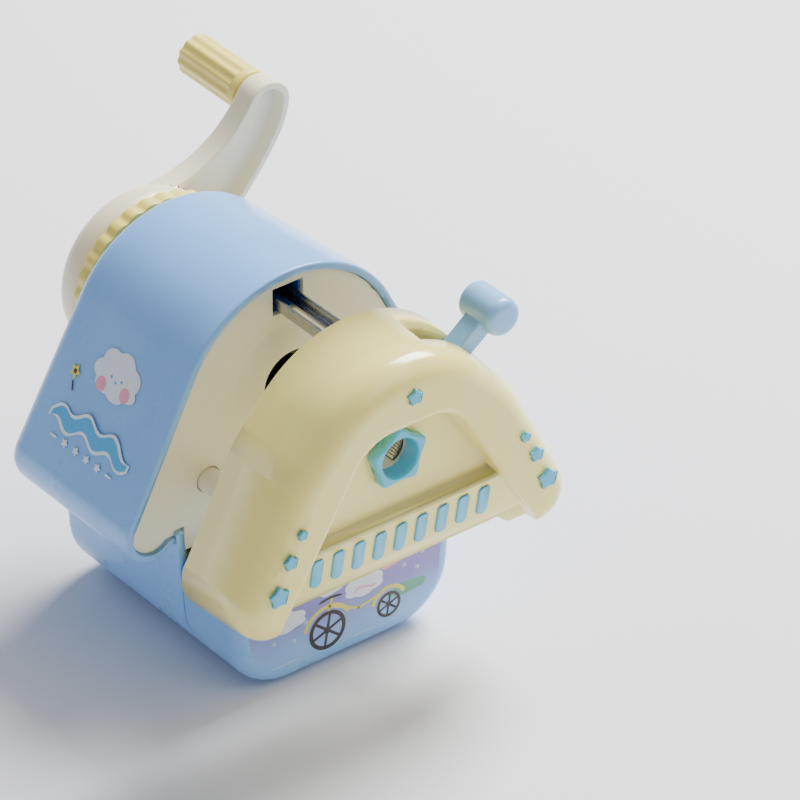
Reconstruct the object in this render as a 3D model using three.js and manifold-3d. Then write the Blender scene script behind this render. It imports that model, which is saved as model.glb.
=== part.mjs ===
// Desk pencil sharpener: a hood on a base, a clamp carriage that pulls out of the front on two rods,
// and a crank at the back that turns a single helical cutter around the pencil.
// Millimetres. +Z is up, the pencil goes in along +Y, +X is to the right seen from the front.
// The origin is the centre of the base's underside.
import * as THREE from 'three';
import { mergeVertices } from 'three/addons/utils/BufferGeometryUtils.js';
import Module from 'manifold-3d';

const wasm = await Module();
wasm.setup();

// ---------------------------------------------------------------- driving dimensions

// body
const axisHeight = 55.7; // pencil axis above the underside of the base
const bodyDepth = 40; // hood and base, front rim to rear wall
const hoodWall = 1.5;
const archRadius = 26.9; // crown of the hood
const archDrop = 2.1; // crown centre below the pencil axis
const cheekRadius = 6.3; // rolled lower edge of the hood
const cheekReach = 33.2; // cheek centres either side of the middle
const cheekDrop = 22; // cheek centres below the pencil axis
const hoodRearRound = 3;
const baseHalfWidth = 27.8; // where the base meets the hood's lip
const baseFlare = 1.4; // how much narrower the base is at its bottom corners, each side
const baseCorner = 13;
const baseWall = 1.8;
const baseRise = 2; // base walls above the hood's lip
const footHeight = 0.8;
const footRadius = 3.5;
const footSpacingX = 20;
const footInset = 6; // foot centres in from the front and rear of the base
const plateRecess = 0.8; // front plate behind the hood's rim
const plateThickness = 1.8;

// clearances
const runningGap = 0.3; // parts that turn or slide past each other
const seamGap = 0.3; // parts that are fixed side by side
const pinGap = 0.2; // a pin in its hole

// pencil path
const clampHoleRadius = 4.15; // hole in the star boss
const plateHoleRadius = 6.4;
const plateBossRadius = 9.4;
const plateBossHeight = 1.6;
const pencilRadius = 3.6; // pencil that the closed jaws hold

// carriage
const carriageTravel = 17.5;
const carriageDepth = 20.5;
const carriageWall = 1.6;
const carriageEdge = 5; // rounding of the front edge
const crownRadius = 26.5;
const crownDrop = 3;
const shoulderRadius = 22;
const shoulderReach = 8.5;
const shoulderDrop = 5.5;
const legRadius = 8;
const legReach = 31.7;
const legDrop = 20.4;
const archRecess = 6.4; // recessed panel behind the front face
const recessRadius = 9.2;
const recessReach = 4.6;
const recessDrop = 0.2;
const recessFootReach = 27.5; // inner edge of the legs, at recessFootDrop below the axis
const recessFootDrop = 21;

// sloping striped bar between the legs
const barTopDrop = 12.8;
const barBottomDrop = 24;
const barStandTop = 3; // bar's front edge ahead of the panel, top and bottom
const barStandBottom = 0.9;
const stripeCount = 9;
const stripePitch = 5;
const stripeWidth = 2.5;
const stripeTopDrop = 14.6;
const stripeHeight = 7;
const stripeProud = 0.35;

// stars: [x, z, radius] about the pencil axis
const starTop = { x: 0, z: 16.3, radius: 1.9 };
const starSmall = { x: 26.7, z: -3.8, radius: 1.3 };
const starMedium = { x: 29.5, z: -8.9, radius: 1.8 };
const starLarge = { x: 32.3, z: -15.6, radius: 2.5 };
const starProud = 0.8;
const starSink = 0.7;
const bossRadius = 7.2; // star round the pencil hole, point to centre
const bossHeight = 2.4;

// rods and rail
const rodRadius = 2.6;
const rodReach = 19.4;
const rodDrop = 15.5;
const rodHoleGap = 0.4;
const rodSleeveWall = 1.2;
const rodSleeveLength = 8.4; // guide sleeve behind the front plate
const railWidth = 5.4;
const railHeight = 2.8;
const railWall = 0.6;
const railRise = 16.2; // underside of the rail above the axis
const railSlotHalfWidth = 3.6;
const railSlotBottom = 15.4;
const railSlotTop = 21.4;

// clamp: three jaws, the lever's cam disc and the carriage's back plate
const jawWidth = 4.6;
const jawLength = 6.6;
const jawTravel = 1.2;
const jawPinRadius = 1;
const jawPinRing = 8; // pin circle with the jaws closed
const camThickness = 1.8;
const camRadius = 14;
const camBore = 5.9;
const leverAngle = 37; // stem above +X at rest, degrees
const leverTurn = 25; // degrees that the lever swings towards the top
const leverWidth = 4.6; // along Y
const leverThickness = 4.2;
const knobRing = 33; // knob centre from the axis
const knobRadius = 4;
const knobLength = 10.4;
const backPlateThickness = 2;

// crank
const crankX = 32.1; // grip axis from the pencil axis
const crankZ = 25.7;
const hubRadius = 18.5;
const hubDepth = 9.2;
const armProud = 0.5;
const armThickness = 5.8;
const armEndRadius = 5;
const armRecess = 3;
const armRim = 1.6;
const gripRadius = 4.6;
const gripLength = 18.7;
const gripRibs = 12;
const gripPinRadius = 2;
const shaftRadius = 4.1;
const dialRadius = 19.6;
const dialThickness = 3;
const dialRibs = 30;
const hubSquare = 5.4; // square drive at both ends of the shaft

// cutter and gears
const ringTeeth = 30;
const pinionTeeth = 9;
const gearModule = 0.8;
const ringOuterRadius = 15.6;
const cutterRadius = 4.3;
const cutterTeeth = 10;
const cutterTipOffset = 4.37; // cutter axis from the pencil axis at the pencil's point
const axleRadius = 1.4;
const carrierRadius = 14.2;

// drawer
const drawerFrontDepth = 16.4;
const drawerTopDrop = 29.9; // top of the drawer front below the pencil axis
const drawerEdge = 3;
const drawerCorner = 3.8; // top corners of the drawer front
const drawerWall = 1.4;

// ---------------------------------------------------------------- derived places

const bodyFront = -bodyDepth / 2;
const bodyRear = bodyDepth / 2;
const hoodInnerRear = bodyRear - hoodWall;
const plateFront = bodyFront + plateRecess;
const plateBack = plateFront + plateThickness;
const carriageRear = bodyFront - carriageTravel - runningGap;
const carriageFront = carriageRear - carriageDepth;
const panelFront = carriageFront + archRecess;
const panelBack = panelFront + carriageWall;
const leverAngleMid = leverAngle + leverTurn / 2;

// ---------------------------------------------------------------- geometry helpers

const radians = THREE.MathUtils.degToRad;

/** Points of an arc in the XZ plane, from one angle to another in radians, both ends included. */
function arc(x, z, radius, from, to, steps) {
  const points = [];
  for (let i = 0; i <= steps; i += 1) {
    const angle = from + ((to - from) * i) / steps;
    points.push(new THREE.Vector2(x + radius * Math.cos(angle), z + radius * Math.sin(angle)));
  }
  return points;
}

/**
 * Outline of a belt pulled round circles that are listed counter-clockwise.
 * offset grows or shrinks every circle; ends fixes where the first arc starts and the last one stops.
 */
function belt(circles, offset = 0, ends = null) {
  const tangent = (a, b) => {
    const span = Math.hypot(b.x - a.x, b.z - a.z);
    return Math.atan2(b.z - a.z, b.x - a.x) - Math.acos((a.radius - b.radius) / span);
  };
  const count = circles.length;
  const points = [];
  circles.forEach((circle, i) => {
    let from = tangent(circles[(i + count - 1) % count], circle);
    let to = tangent(circle, circles[(i + 1) % count]);
    if (ends && i === 0) {
      from = ends.from;
    }
    if (ends && i === count - 1) {
      to = ends.to;
    }
    while (to < from) {
      to += 2 * Math.PI;
    }
    while (to - from > 2 * Math.PI) {
      to -= 2 * Math.PI;
    }
    const radius = circle.radius + offset;
    const steps = Math.max(1, Math.ceil(((to - from) * (4 + radius / 5)) / Math.PI));
    points.push(...arc(circle.x, circle.z, radius, from, to, steps));
  });
  return points;
}

/** Mirror a right-hand circle to the left. */
function mirrored(circle) {
  return { ...circle, x: -circle.x };
}

/** A three.js geometry as a manifold solid: positions only, shared vertices merged, slivers dropped. */
function toSolid(geometry) {
  geometry.deleteAttribute('normal');
  geometry.deleteAttribute('uv');
  const merged = mergeVertices(geometry, 1e-4);
  const index = merged.index.array;
  const triangles = [];
  for (let i = 0; i < index.length; i += 3) {
    const [a, b, c] = [index[i], index[i + 1], index[i + 2]];
    if (a !== b && b !== c && c !== a) {
      triangles.push(a, b, c);
    }
  }
  const vertProperties = merged.attributes.position.array;
  return new wasm.Manifold(
    new wasm.Mesh({ numProp: 3, vertProperties, triVerts: new Uint32Array(triangles) }),
  );
}

/** A manifold solid as a three.js geometry. */
function toGeometry(solid) {
  const mesh = solid.getMesh();
  const geometry = new THREE.BufferGeometry();
  geometry.setAttribute('position', new THREE.BufferAttribute(new Float32Array(mesh.vertProperties), 3));
  geometry.setIndex(new THREE.BufferAttribute(new Uint32Array(mesh.triVerts), 1));
  geometry.computeVertexNormals();
  return geometry;
}

/** Axis-aligned block between two corners. */
function block(low, high) {
  const size = high.map((value, i) => value - low[i]);
  const geometry = new THREE.BoxGeometry(...size);
  geometry.translate(...low.map((value, i) => value + size[i] / 2));
  return toSolid(geometry);
}

/** Cylinder along Y between two Y values. */
function cylinder(radius, front, back, { x = 0, z = 0, segments = 22, backRadius = radius } = {}) {
  const geometry = new THREE.CylinderGeometry(backRadius, radius, back - front, segments);
  geometry.translate(x, (front + back) / 2, z);
  return toSolid(geometry);
}

/** Body of revolution about Y from [radius, y] pairs that start and end on the axis, going towards +Y. */
function turned(profile, segments = 24) {
  return toSolid(new THREE.LatheGeometry(profile.map(([r, y]) => new THREE.Vector2(r, y)), segments));
}

/** Outline in the XZ plane pulled along Y, with either end rounded over. */
function prism(outline, front, back, { roundFront = 0, roundBack = 0 } = {}) {
  const round = Math.max(roundFront, roundBack);
  const start = roundFront > 0 ? front : front - round;
  const end = roundBack > 0 ? back : back + round;
  const geometry = new THREE.ExtrudeGeometry(new THREE.Shape(outline), {
    depth: end - start - 2 * round,
    bevelEnabled: round > 0,
    bevelThickness: round,
    bevelSize: round,
    bevelOffset: -round,
    bevelSegments: 2,
  });
  geometry.rotateX(Math.PI / 2);
  geometry.translate(0, end - round, 0);
  const solid = toSolid(geometry);
  if (round === 0) {
    return solid;
  }
  const reach = 200;
  return solid.intersect(block([-reach, front, -reach], [reach, back, reach]));
}

/** Add several solids together. */
function joined(first, ...others) {
  return others.reduce((sum, solid) => sum.add(solid), first);
}

/** Cut several solids out of the first. */
function cut(first, ...others) {
  return others.reduce((rest, solid) => rest.subtract(solid), first);
}

/** The same solid turned about Y, by degrees counter-clockwise seen from the front. */
function turnedTo(solid, degrees) {
  return solid.rotate([0, -degrees, 0]);
}

/** Moulded plastic, matte metal or rubber for a mesh. */
function finish(color, roughness, metalness = 0) {
  return new THREE.MeshStandardMaterial({ color, roughness, metalness });
}

/** Put a solid into a group as a named mesh. */
function place(group, name, solid, material) {
  const mesh = new THREE.Mesh(toGeometry(solid), material);
  mesh.name = name;
  group.add(mesh);
  return mesh;
}

// ---------------------------------------------------------------- finishes

const finishes = {
  blue: () => finish(0xa9cff2, 0.3),
  ivory: () => finish(0xebe8dc, 0.4),
  cream: () => finish(0xf7efc0, 0.25),
  turquoise: () => finish(0x83c3d2, 0.35),
  white: () => finish(0xefede4, 0.3),
  butter: () => finish(0xeee0a6, 0.4),
  smoke: () => finish(0xcfd6da, 0.2),
  dark: () => finish(0x2b2f36, 0.5),
  steel: () => finish(0xb9bcc0, 0.3, 1),
  hardened: () => finish(0x6f7378, 0.35, 1),
  rubber: () => finish(0x3a3d40, 0.9),
};

// ---------------------------------------------------------------- outlines

const cheek = { x: cheekReach, z: -cheekDrop, radius: cheekRadius };
const lipX = baseHalfWidth + seamGap + 0.5;
const lipAngle = Math.acos((lipX - cheekReach) / cheekRadius);
const lipZ = -cheekDrop - cheekRadius * Math.sin(lipAngle);
const hoodCircles = [cheek, { x: 0, z: -archDrop, radius: archRadius }, mirrored(cheek)];

/** Hood outline about the pencil axis, closed by a straight line from lip to lip. */
function hoodOutline(offset) {
  return belt(hoodCircles, offset, { from: -lipAngle, to: Math.PI + lipAngle });
}

const baseTop = axisHeight + lipZ + baseRise;
const baseAbove = baseTop + baseCorner; // the open base and tray are drawn this tall, then cut down

/** Half-width of the base's side at a height above the underside. */
function baseHalfAt(z) {
  const lip = axisHeight + lipZ;
  return baseHalfWidth - (baseFlare * (lip - z)) / (lip - baseCorner);
}

/** Outline of the base, or of the drawer when top is lower, about the underside's centre. */
function baseOutline(offset, top = baseAbove, topRound = baseCorner) {
  const low = { x: baseHalfAt(baseCorner) - baseCorner, z: baseCorner, radius: baseCorner };
  const high = { x: baseHalfAt(top - topRound) - topRound, z: top - topRound, radius: topRound };
  return belt([low, high, mirrored(high), mirrored(low)], offset);
}

const leg = { x: legReach, z: -legDrop, radius: legRadius };
const shoulder = { x: shoulderReach, z: -shoulderDrop, radius: shoulderRadius };
const crown = { x: 0, z: -crownDrop, radius: crownRadius };
const carriageCircles = [leg, shoulder, crown, mirrored(shoulder), mirrored(leg)];

/** Outer outline of the carriage about the pencil axis. */
function carriageOutline(offset) {
  return belt(carriageCircles, offset);
}

/** The arch-shaped recess in the carriage's front, open below the legs. */
function recessOutline(offset) {
  const corner = { x: recessReach, z: -recessDrop, radius: recessRadius };
  const flank = Math.atan2(recessFootReach - recessReach - recessRadius, recessFootDrop - recessDrop);
  const below = 12;
  const foot = {
    x: recessFootReach + below * Math.tan(flank) - 1,
    z: -recessFootDrop - below,
    radius: 1,
  };
  return belt([foot, corner, mirrored(corner), mirrored(foot)], offset);
}

/** Five-pointed star with blunt points. */
function starOutline(radius, waist = 0.66) {
  const points = [];
  for (let i = 0; i < 10; i += 1) {
    const reach = i % 2 === 0 ? radius : radius * waist;
    const angle = Math.PI / 2 + (i * Math.PI) / 5;
    if (i % 2 === 0) {
      const blunt = 0.2;
      points.push(new THREE.Vector2(reach * Math.cos(angle - blunt), reach * Math.sin(angle - blunt)));
      points.push(new THREE.Vector2(reach * Math.cos(angle + blunt), reach * Math.sin(angle + blunt)));
    } else {
      points.push(new THREE.Vector2(reach * Math.cos(angle), reach * Math.sin(angle)));
    }
  }
  return points;
}

/** Outline moved in the XZ plane. */
function moved(outline, x, z) {
  return outline.map((point) => new THREE.Vector2(point.x + x, point.y + z));
}

/** Straight-sided gear outline; phase turns it, and a tooth points along that angle. */
function gearOutline(teeth, tipRadius, rootRadius, tipShare, rootShare, phase = 0) {
  const points = [];
  const pitch = (2 * Math.PI) / teeth;
  for (let i = 0; i < teeth; i += 1) {
    const middle = phase + i * pitch;
    const corners = [
      [rootRadius, -rootShare],
      [tipRadius, -tipShare],
      [tipRadius, tipShare],
      [rootRadius, rootShare],
    ];
    corners.forEach(([radius, share]) => {
      const angle = middle + (share * pitch) / 2;
      points.push(new THREE.Vector2(radius * Math.cos(angle), radius * Math.sin(angle)));
    });
  }
  return points;
}

/** Pan-head screw along Y with a cross recess; the head's outer face is at y = 0, the shank runs to -Y. */
function screw(headRadius, headHeight, shankRadius, length) {
  const body = turned([
    [0, -length],
    [shankRadius * 0.5, -length],
    [shankRadius, -length + shankRadius],
    [shankRadius, -headHeight],
    [headRadius, -headHeight],
    [headRadius, -headHeight * 0.4],
    [headRadius * 0.7, 0],
    [0, 0],
  ], 12);
  const slotHalf = headRadius * 0.14;
  const slotReach = headRadius * 0.55;
  const depth = headHeight * 0.6;
  const across = block([-slotReach, -depth, -slotHalf], [slotReach, 1, slotHalf]);
  const upright = block([-slotHalf, -depth, -slotReach], [slotHalf, 1, slotReach]);
  return cut(body, across, upright);
}

/** Helix of round wire about Y, for springs. */
class HelixCurve extends THREE.Curve {
  constructor(radius, length, turns) {
    super();
    this.radius = radius;
    this.length = length;
    this.turns = turns;
  }

  getPoint(t, target = new THREE.Vector3()) {
    const angle = 2 * Math.PI * this.turns * t;
    return target.set(this.radius * Math.cos(angle), this.length * t, this.radius * Math.sin(angle));
  }
}

/** Coil spring along Y from y = 0; length is between the outer faces of its end turns. */
function coilSpring(coilRadius, wireRadius, length, turns) {
  const section = new THREE.Shape(arc(0, 0, wireRadius, 0, (2 * Math.PI * 4) / 5, 4));
  const path = new HelixCurve(coilRadius, length - 2 * wireRadius, turns);
  const geometry = new THREE.ExtrudeGeometry(section, { extrudePath: path, steps: Math.round(turns * 8) });
  geometry.translate(0, wireRadius, 0);
  return toSolid(geometry);
}

// ---------------------------------------------------------------- body

const caseScrewReach = 9;
const caseScrewZ = lipZ + 3.8;
const caseScrewHead = { radius: 2.8, height: 1.3 };
const caseScrewShank = 1.3;
const tabThickness = 2;
const bushRadius = 6.2;
const bushBore = shaftRadius + pinGap;

/** Arched casing: crown, flared cheeks, rolled lips and rear wall, open at the front and below. */
function makeHood() {
  const outer = prism(hoodOutline(0), bodyFront, bodyRear, { roundBack: hoodRearRound });
  const inner = prism(hoodOutline(-hoodWall), bodyFront - 1, hoodInnerRear, {
    roundBack: hoodRearRound - hoodWall,
  });
  const gap = baseHalfWidth + seamGap;
  const underside = block([-gap, bodyFront - 1, lipZ - 1], [gap, hoodInnerRear, lipZ + 2 * hoodWall]);
  const screwHole = (side) => cylinder(caseScrewShank + pinGap, hoodInnerRear - 1, bodyRear + 1, {
    x: side * caseScrewReach,
    z: caseScrewZ,
    segments: 16,
  });
  const bushHole = cylinder(bushRadius + pinGap, hoodInnerRear - 1, bodyRear + 1);
  return cut(outer, inner, underside, bushHole, screwHole(-1), screwHole(1));
}

/** Lower housing: open at the front for the drawer and at the top for the shavings. */
function makeBase() {
  const outer = prism(baseOutline(0), bodyFront, bodyRear, { roundBack: hoodRearRound });
  const inner = prism(baseOutline(-baseWall), bodyFront - 1, bodyRear - baseWall, {
    roundBack: hoodRearRound - baseWall,
  });
  const above = block(
    [-2 * baseHalfWidth, bodyFront - 1, baseTop],
    [2 * baseHalfWidth, bodyRear + 1, axisHeight],
  );
  const lipHeight = axisHeight + lipZ;
  const rearRelief = block(
    [-2 * baseHalfWidth, hoodInnerRear - seamGap, lipHeight - seamGap],
    [2 * baseHalfWidth, bodyRear + 1, axisHeight],
  );
  const tub = cut(outer, inner, above, rearRelief);
  const tabFront = hoodInnerRear - seamGap - tabThickness;
  const tab = (side) => block(
    [side * caseScrewReach - 3.2, tabFront, lipHeight - 4.2],
    [side * caseScrewReach + 3.2, hoodInnerRear - seamGap, axisHeight + caseScrewZ + 3.2],
  );
  const pilot = (side) => cylinder(caseScrewShank + pinGap / 2, tabFront - 1, bodyRear - 0.1, {
    x: side * caseScrewReach,
    z: axisHeight + caseScrewZ,
    segments: 16,
  });
  const pockets = footPlaces().map(({ x, y }) => {
    const pocket = new THREE.CylinderGeometry(footRadius + seamGap / 2, footRadius + seamGap / 2, 3, 24);
    pocket.rotateX(Math.PI / 2);
    pocket.translate(x, y, baseWall / 2 + 0.1 - 1.5);
    return toSolid(pocket);
  });
  const withTabs = joined(tub, tab(-1), tab(1));
  return cut(withTabs, pilot(-1), pilot(1), ...pockets);
}

/** Centres of the four feet under the base. */
function footPlaces() {
  const y = bodyDepth / 2 - footInset;
  const x = footSpacingX / 2;
  return [{ x, y: -y }, { x: -x, y: -y }, { x, y }, { x: -x, y }];
}

/** Rubber foot in its pocket. */
function makeFoot({ x, y }) {
  const top = baseWall / 2;
  const geometry = new THREE.CylinderGeometry(footRadius, footRadius - 0.3, top + footHeight, 24);
  geometry.rotateX(Math.PI / 2);
  geometry.translate(x, y, (top - footHeight) / 2);
  return toSolid(geometry);
}

/** Fascia with the rail slot, the pencil boss, the rod sleeves and a tongue down to the drawer. */
function makeFrontPlate() {
  const sheet = prism(hoodOutline(-hoodWall - seamGap), plateFront, plateBack);
  const tongueHalf = baseHalfWidth - baseWall - 2 * seamGap;
  const tongue = block(
    [-tongueHalf, plateFront, -drawerTopDrop + runningGap],
    [tongueHalf, plateBack, lipZ + baseRise + 2],
  );
  const boss = cylinder(plateBossRadius - 1.8, plateFront - plateBossHeight, plateFront + 0.1, {
    backRadius: plateBossRadius,
    segments: 40,
  });
  const sleeveRadius = rodRadius + rodHoleGap + rodSleeveWall;
  const sleeveEnd = plateBack + rodSleeveLength;
  const sleeve = (side) => cylinder(sleeveRadius, plateBack - 0.1, sleeveEnd, {
    x: side * rodReach,
    z: -rodDrop,
  });
  const solid = joined(sheet, tongue, boss, sleeve(-1), sleeve(1));
  const rodHole = (side) => cylinder(rodRadius + rodHoleGap, plateFront - 1, sleeveEnd + 1, {
    x: side * rodReach,
    z: -rodDrop,
    segments: 24,
  });
  const wallNotch = (side) => {
    const inside = tongueHalf;
    const outside = baseHalfWidth + 3 * seamGap;
    return block(
      [side > 0 ? inside : -outside, plateFront - 1, -cheekDrop - cheekRadius],
      [side > 0 ? outside : -inside, plateBack + 1, lipZ + baseRise + seamGap],
    );
  };
  const railSlot = block(
    [-railSlotHalfWidth, plateFront - 1, railSlotBottom],
    [railSlotHalfWidth, plateBack + 1, railSlotTop],
  );
  const pencilHole = cylinder(plateHoleRadius, plateFront - 5, plateBack + 1, { segments: 40 });
  return cut(solid, railSlot, pencilHole, rodHole(-1), rodHole(1), wallNotch(-1), wallNotch(1));
}

const gearFront = plateBack + seamGap;
const gearFlange = 1.2;
const gearLength = 6.6;
const gearBack = gearFront + gearLength;
const ringPitchRadius = (ringTeeth * gearModule) / 2;
const pinionPitchRadius = (pinionTeeth * gearModule) / 2;
const journalRadius = 6.9;

/** Fixed internal gear in a flanged cup behind the front plate. */
function makeRingGear() {
  const cup = cylinder(ringOuterRadius, gearFront, gearBack, { segments: 48 });
  const journalHole = cylinder(journalRadius + runningGap, gearFront - 1, gearBack, { segments: 32 });
  const toothed = gearOutline(
    ringTeeth,
    ringPitchRadius + gearModule * 1.15,
    ringPitchRadius - gearModule * 0.65,
    0.5,
    0.68,
    0,
  );
  const teeth = prism(toothed, gearFront + gearFlange, gearBack + 1);
  return cut(cup, journalHole, teeth);
}

/** Flanged plain bush for the crank shaft in the hood's rear wall. */
function makeRearBush() {
  const flangeRadius = 8.5;
  const flange = cylinder(flangeRadius, hoodInnerRear - 1.5, hoodInnerRear - seamGap);
  const sleeve = cylinder(bushRadius, hoodInnerRear - 1.5, bodyRear + 1.3);
  return cut(joined(flange, sleeve), cylinder(bushBore, hoodInnerRear - 3, bodyRear + 3));
}

// ---------------------------------------------------------------- carriage

const starPlaces = [
  { name: 'star_top', side: 1, ...starTop },
  ...[-1, 1].flatMap((side) => {
    const word = side < 0 ? 'left' : 'right';
    return [
      { name: `star_${word}_small`, ...starSmall, side },
      { name: `star_${word}_medium`, ...starMedium, side },
      { name: `star_${word}_large`, ...starLarge, side },
    ];
  }),
];
const backPlateFront = panelBack + 6.1;
const backPlateBack = backPlateFront + backPlateThickness;
const postReach = 30;
const postDrop = 12;
const postRadius = 2.6;
const postScrewShank = 1.1;
const leverFront = panelBack + 0.5;
const bossTubeRadius = clampHoleRadius + 1.2;

/** Cross-section of the striped bar swept along X, cut to the width of the recess. */
function makeBarBlock() {
  const profile = [
    new THREE.Vector2(panelFront - barStandTop, -barTopDrop),
    new THREE.Vector2(panelFront + 0.5, -barTopDrop + 0.6),
    new THREE.Vector2(panelFront + 0.5, -barBottomDrop),
    new THREE.Vector2(panelFront - barStandBottom, -barBottomDrop),
  ];
  const width = 2 * (legReach + legRadius);
  const geometry = new THREE.ExtrudeGeometry(new THREE.Shape(profile.reverse()), {
    depth: width,
    bevelEnabled: false,
  });
  geometry.translate(0, 0, -width / 2);
  geometry.rotateY(Math.PI / 2);
  geometry.rotateX(Math.PI / 2);
  return toSolid(geometry);
}

/** Front-to-back solids of the nine stripes, grown by a gap for the slots they stand in. */
function stripeSolids(gap, front, back) {
  const solids = [];
  for (let i = 0; i < stripeCount; i += 1) {
    const x = (i - (stripeCount - 1) / 2) * stripePitch;
    const half = stripeWidth / 2 + gap;
    const round = half * 0.9;
    const top = { x: half - 0.2, z: -stripeTopDrop + gap - 0.2, radius: 0.2 };
    const low = { x: half - round, z: -stripeTopDrop - stripeHeight - gap + round, radius: round };
    solids.push(prism(moved(belt([low, top, mirrored(top), mirrored(low)]), x, 0), front, back));
  }
  return solids;
}

/** Moulded arch: thick rounded front, recessed panel, sloping bar and screw posts, open at the back. */
function makeCarriageShell() {
  const outer = prism(carriageOutline(0), carriageFront, carriageRear, { roundFront: carriageEdge });
  const recess = prism(recessOutline(0), carriageFront - 1, panelFront);
  const hollow = prism(carriageOutline(-carriageWall), carriageFront + carriageWall, carriageRear + 1, {
    roundFront: carriageEdge - carriageWall,
  });
  const recessWalls = prism(recessOutline(carriageWall), carriageFront - 1, panelBack);
  const shell = cut(outer, recess, hollow.subtract(recessWalls));
  const bar = makeBarBlock().intersect(prism(recessOutline(carriageWall / 2), carriageFront, panelBack));
  const post = (side) => cylinder(postRadius, carriageFront + carriageWall / 2, backPlateFront - seamGap, {
    x: side * postReach,
    z: -postDrop,
    segments: 20,
  });
  const pilot = (side) => cylinder(postScrewShank + pinGap / 2, carriageFront + 3, backPlateFront, {
    x: side * postReach,
    z: -postDrop,
    segments: 14,
  });
  const halfStem = radians(leverTurn / 2 + 8);
  const slotReach = knobRing;
  const slot = prism(
    [
      ...arc(0, 0, slotReach, radians(leverAngleMid) - halfStem, radians(leverAngleMid) + halfStem, 6),
      ...arc(0, 0, camRadius, radians(leverAngleMid) + halfStem, radians(leverAngleMid) - halfStem, 6),
    ],
    leverFront - runningGap,
    leverFront + leverWidth + runningGap,
  );
  const stars = starPlaces.map(({ side, x, z, radius }) => prism(
    moved(starOutline(radius + pinGap), side * x, z),
    carriageFront - 1,
    carriageFront + starSink + pinGap,
  ));
  const stripes = stripeSolids(pinGap / 2, carriageFront, panelBack + 1);
  const bossHole = cylinder(bossTubeRadius + pinGap / 2, panelFront - 1, panelBack + 1);
  const solid = joined(shell, bar, post(-1), post(1));
  return cut(solid, slot, bossHole, pilot(-1), pilot(1), ...stars, ...stripes);
}

/** Blue star plate round the pencil hole, with a short tube through the panel. */
function makeStarBoss() {
  const plate = prism(starOutline(bossRadius, 0.72), panelFront - bossHeight, panelFront - pinGap);
  const tube = cylinder(bossTubeRadius, panelFront - 1, panelBack + 0.1);
  return cut(joined(plate, tube), cylinder(clampHoleRadius, carriageFront, panelBack + 1));
}

/** One comb: nine stripes on a backing strip that lies behind the panel. */
function makeStripeInsert() {
  const frontAt = (drop) => {
    const share = (drop - barTopDrop) / (barBottomDrop - barTopDrop);
    return panelFront - barStandTop + (barStandTop - barStandBottom) * share;
  };
  const reach = ((stripeCount - 1) * stripePitch + stripeWidth) / 2;
  const backing = block(
    [-reach, panelBack + pinGap, -stripeTopDrop - stripeHeight],
    [reach, panelBack + 1, -stripeTopDrop],
  );
  const slope = Math.atan2(barStandTop - barStandBottom, barBottomDrop - barTopDrop);
  const keep = block([-50, 0, -50], [50, 50, 50])
    .rotate([(slope * 180) / Math.PI, 0, 0])
    .translate([0, frontAt(stripeTopDrop) - stripeProud, -stripeTopDrop]);
  return joined(backing, ...stripeSolids(0, carriageFront, panelBack + 0.5)).intersect(keep);
}

/** Star-shaped button in its pocket. */
function makeStar({ side, x, z, radius }) {
  return prism(moved(starOutline(radius), side * x, z), carriageFront - starProud, carriageFront + starSink);
}

const guideFront = panelBack + 0.2;
const guideFloor = 0.8;
const guideBack = guideFront + 3.2;
const guideRadius = camRadius - 2;
const camFront = guideBack + runningGap;
const camBack = camFront + camThickness;
const jawAngles = [90, 210, 330];

/** Disc with three radial channels for the jaws. */
function makeJawGuide() {
  const disc = cylinder(guideRadius, guideFront, guideBack, { segments: 36 });
  const channel = block(
    [0, guideFront + guideFloor, -jawWidth / 2 - pinGap],
    [camRadius + 1, guideBack + 1, jawWidth / 2 + pinGap],
  );
  const bore = cylinder(clampHoleRadius + 0.25, guideFront - 1, guideBack + 1);
  return cut(disc, bore, ...jawAngles.map((angle) => turnedTo(channel, angle)));
}

/** Clamp jaw: a block that slides in its channel, with a pin for the cam disc. */
function makeJaw(angle) {
  const blockSolid = block(
    [pencilRadius, guideFront + guideFloor + pinGap, -jawWidth / 2],
    [pencilRadius + jawLength, guideBack - 0.1, jawWidth / 2],
  );
  const pin = cylinder(jawPinRadius, guideBack - 1, camBack - 0.2, { x: jawPinRing, segments: 16 });
  return turnedTo(joined(blockSolid, pin), angle);
}

/** Spiral slot that moves one jaw pin outwards as the disc turns. */
function camSlot() {
  const steps = 4;
  const half = jawPinRadius + pinGap + 0.1;
  const turn = radians(leverTurn);
  const discs = [];
  for (let i = 0; i <= steps; i += 1) {
    const share = -0.1 + (1.2 * i) / steps;
    const ring = jawPinRing + jawTravel * share;
    const angle = -turn * share;
    discs.push(cylinder(half, camFront - 1, camBack + 1, {
      x: ring * Math.cos(angle),
      z: ring * Math.sin(angle),
      segments: 12,
    }));
  }
  const spans = discs.slice(1).map((disc, i) => wasm.Manifold.hull([discs[i], disc]));
  return joined(...spans);
}

const springLug = { ring: 15.4, angle: 172 };
const springAnchor = { ring: 20, angle: 138 };

/** Place in the XZ plane from a ring radius and an angle above +X in degrees. */
function polar({ ring, angle }) {
  return { x: ring * Math.cos(radians(angle)), z: ring * Math.sin(radians(angle)) };
}

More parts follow.
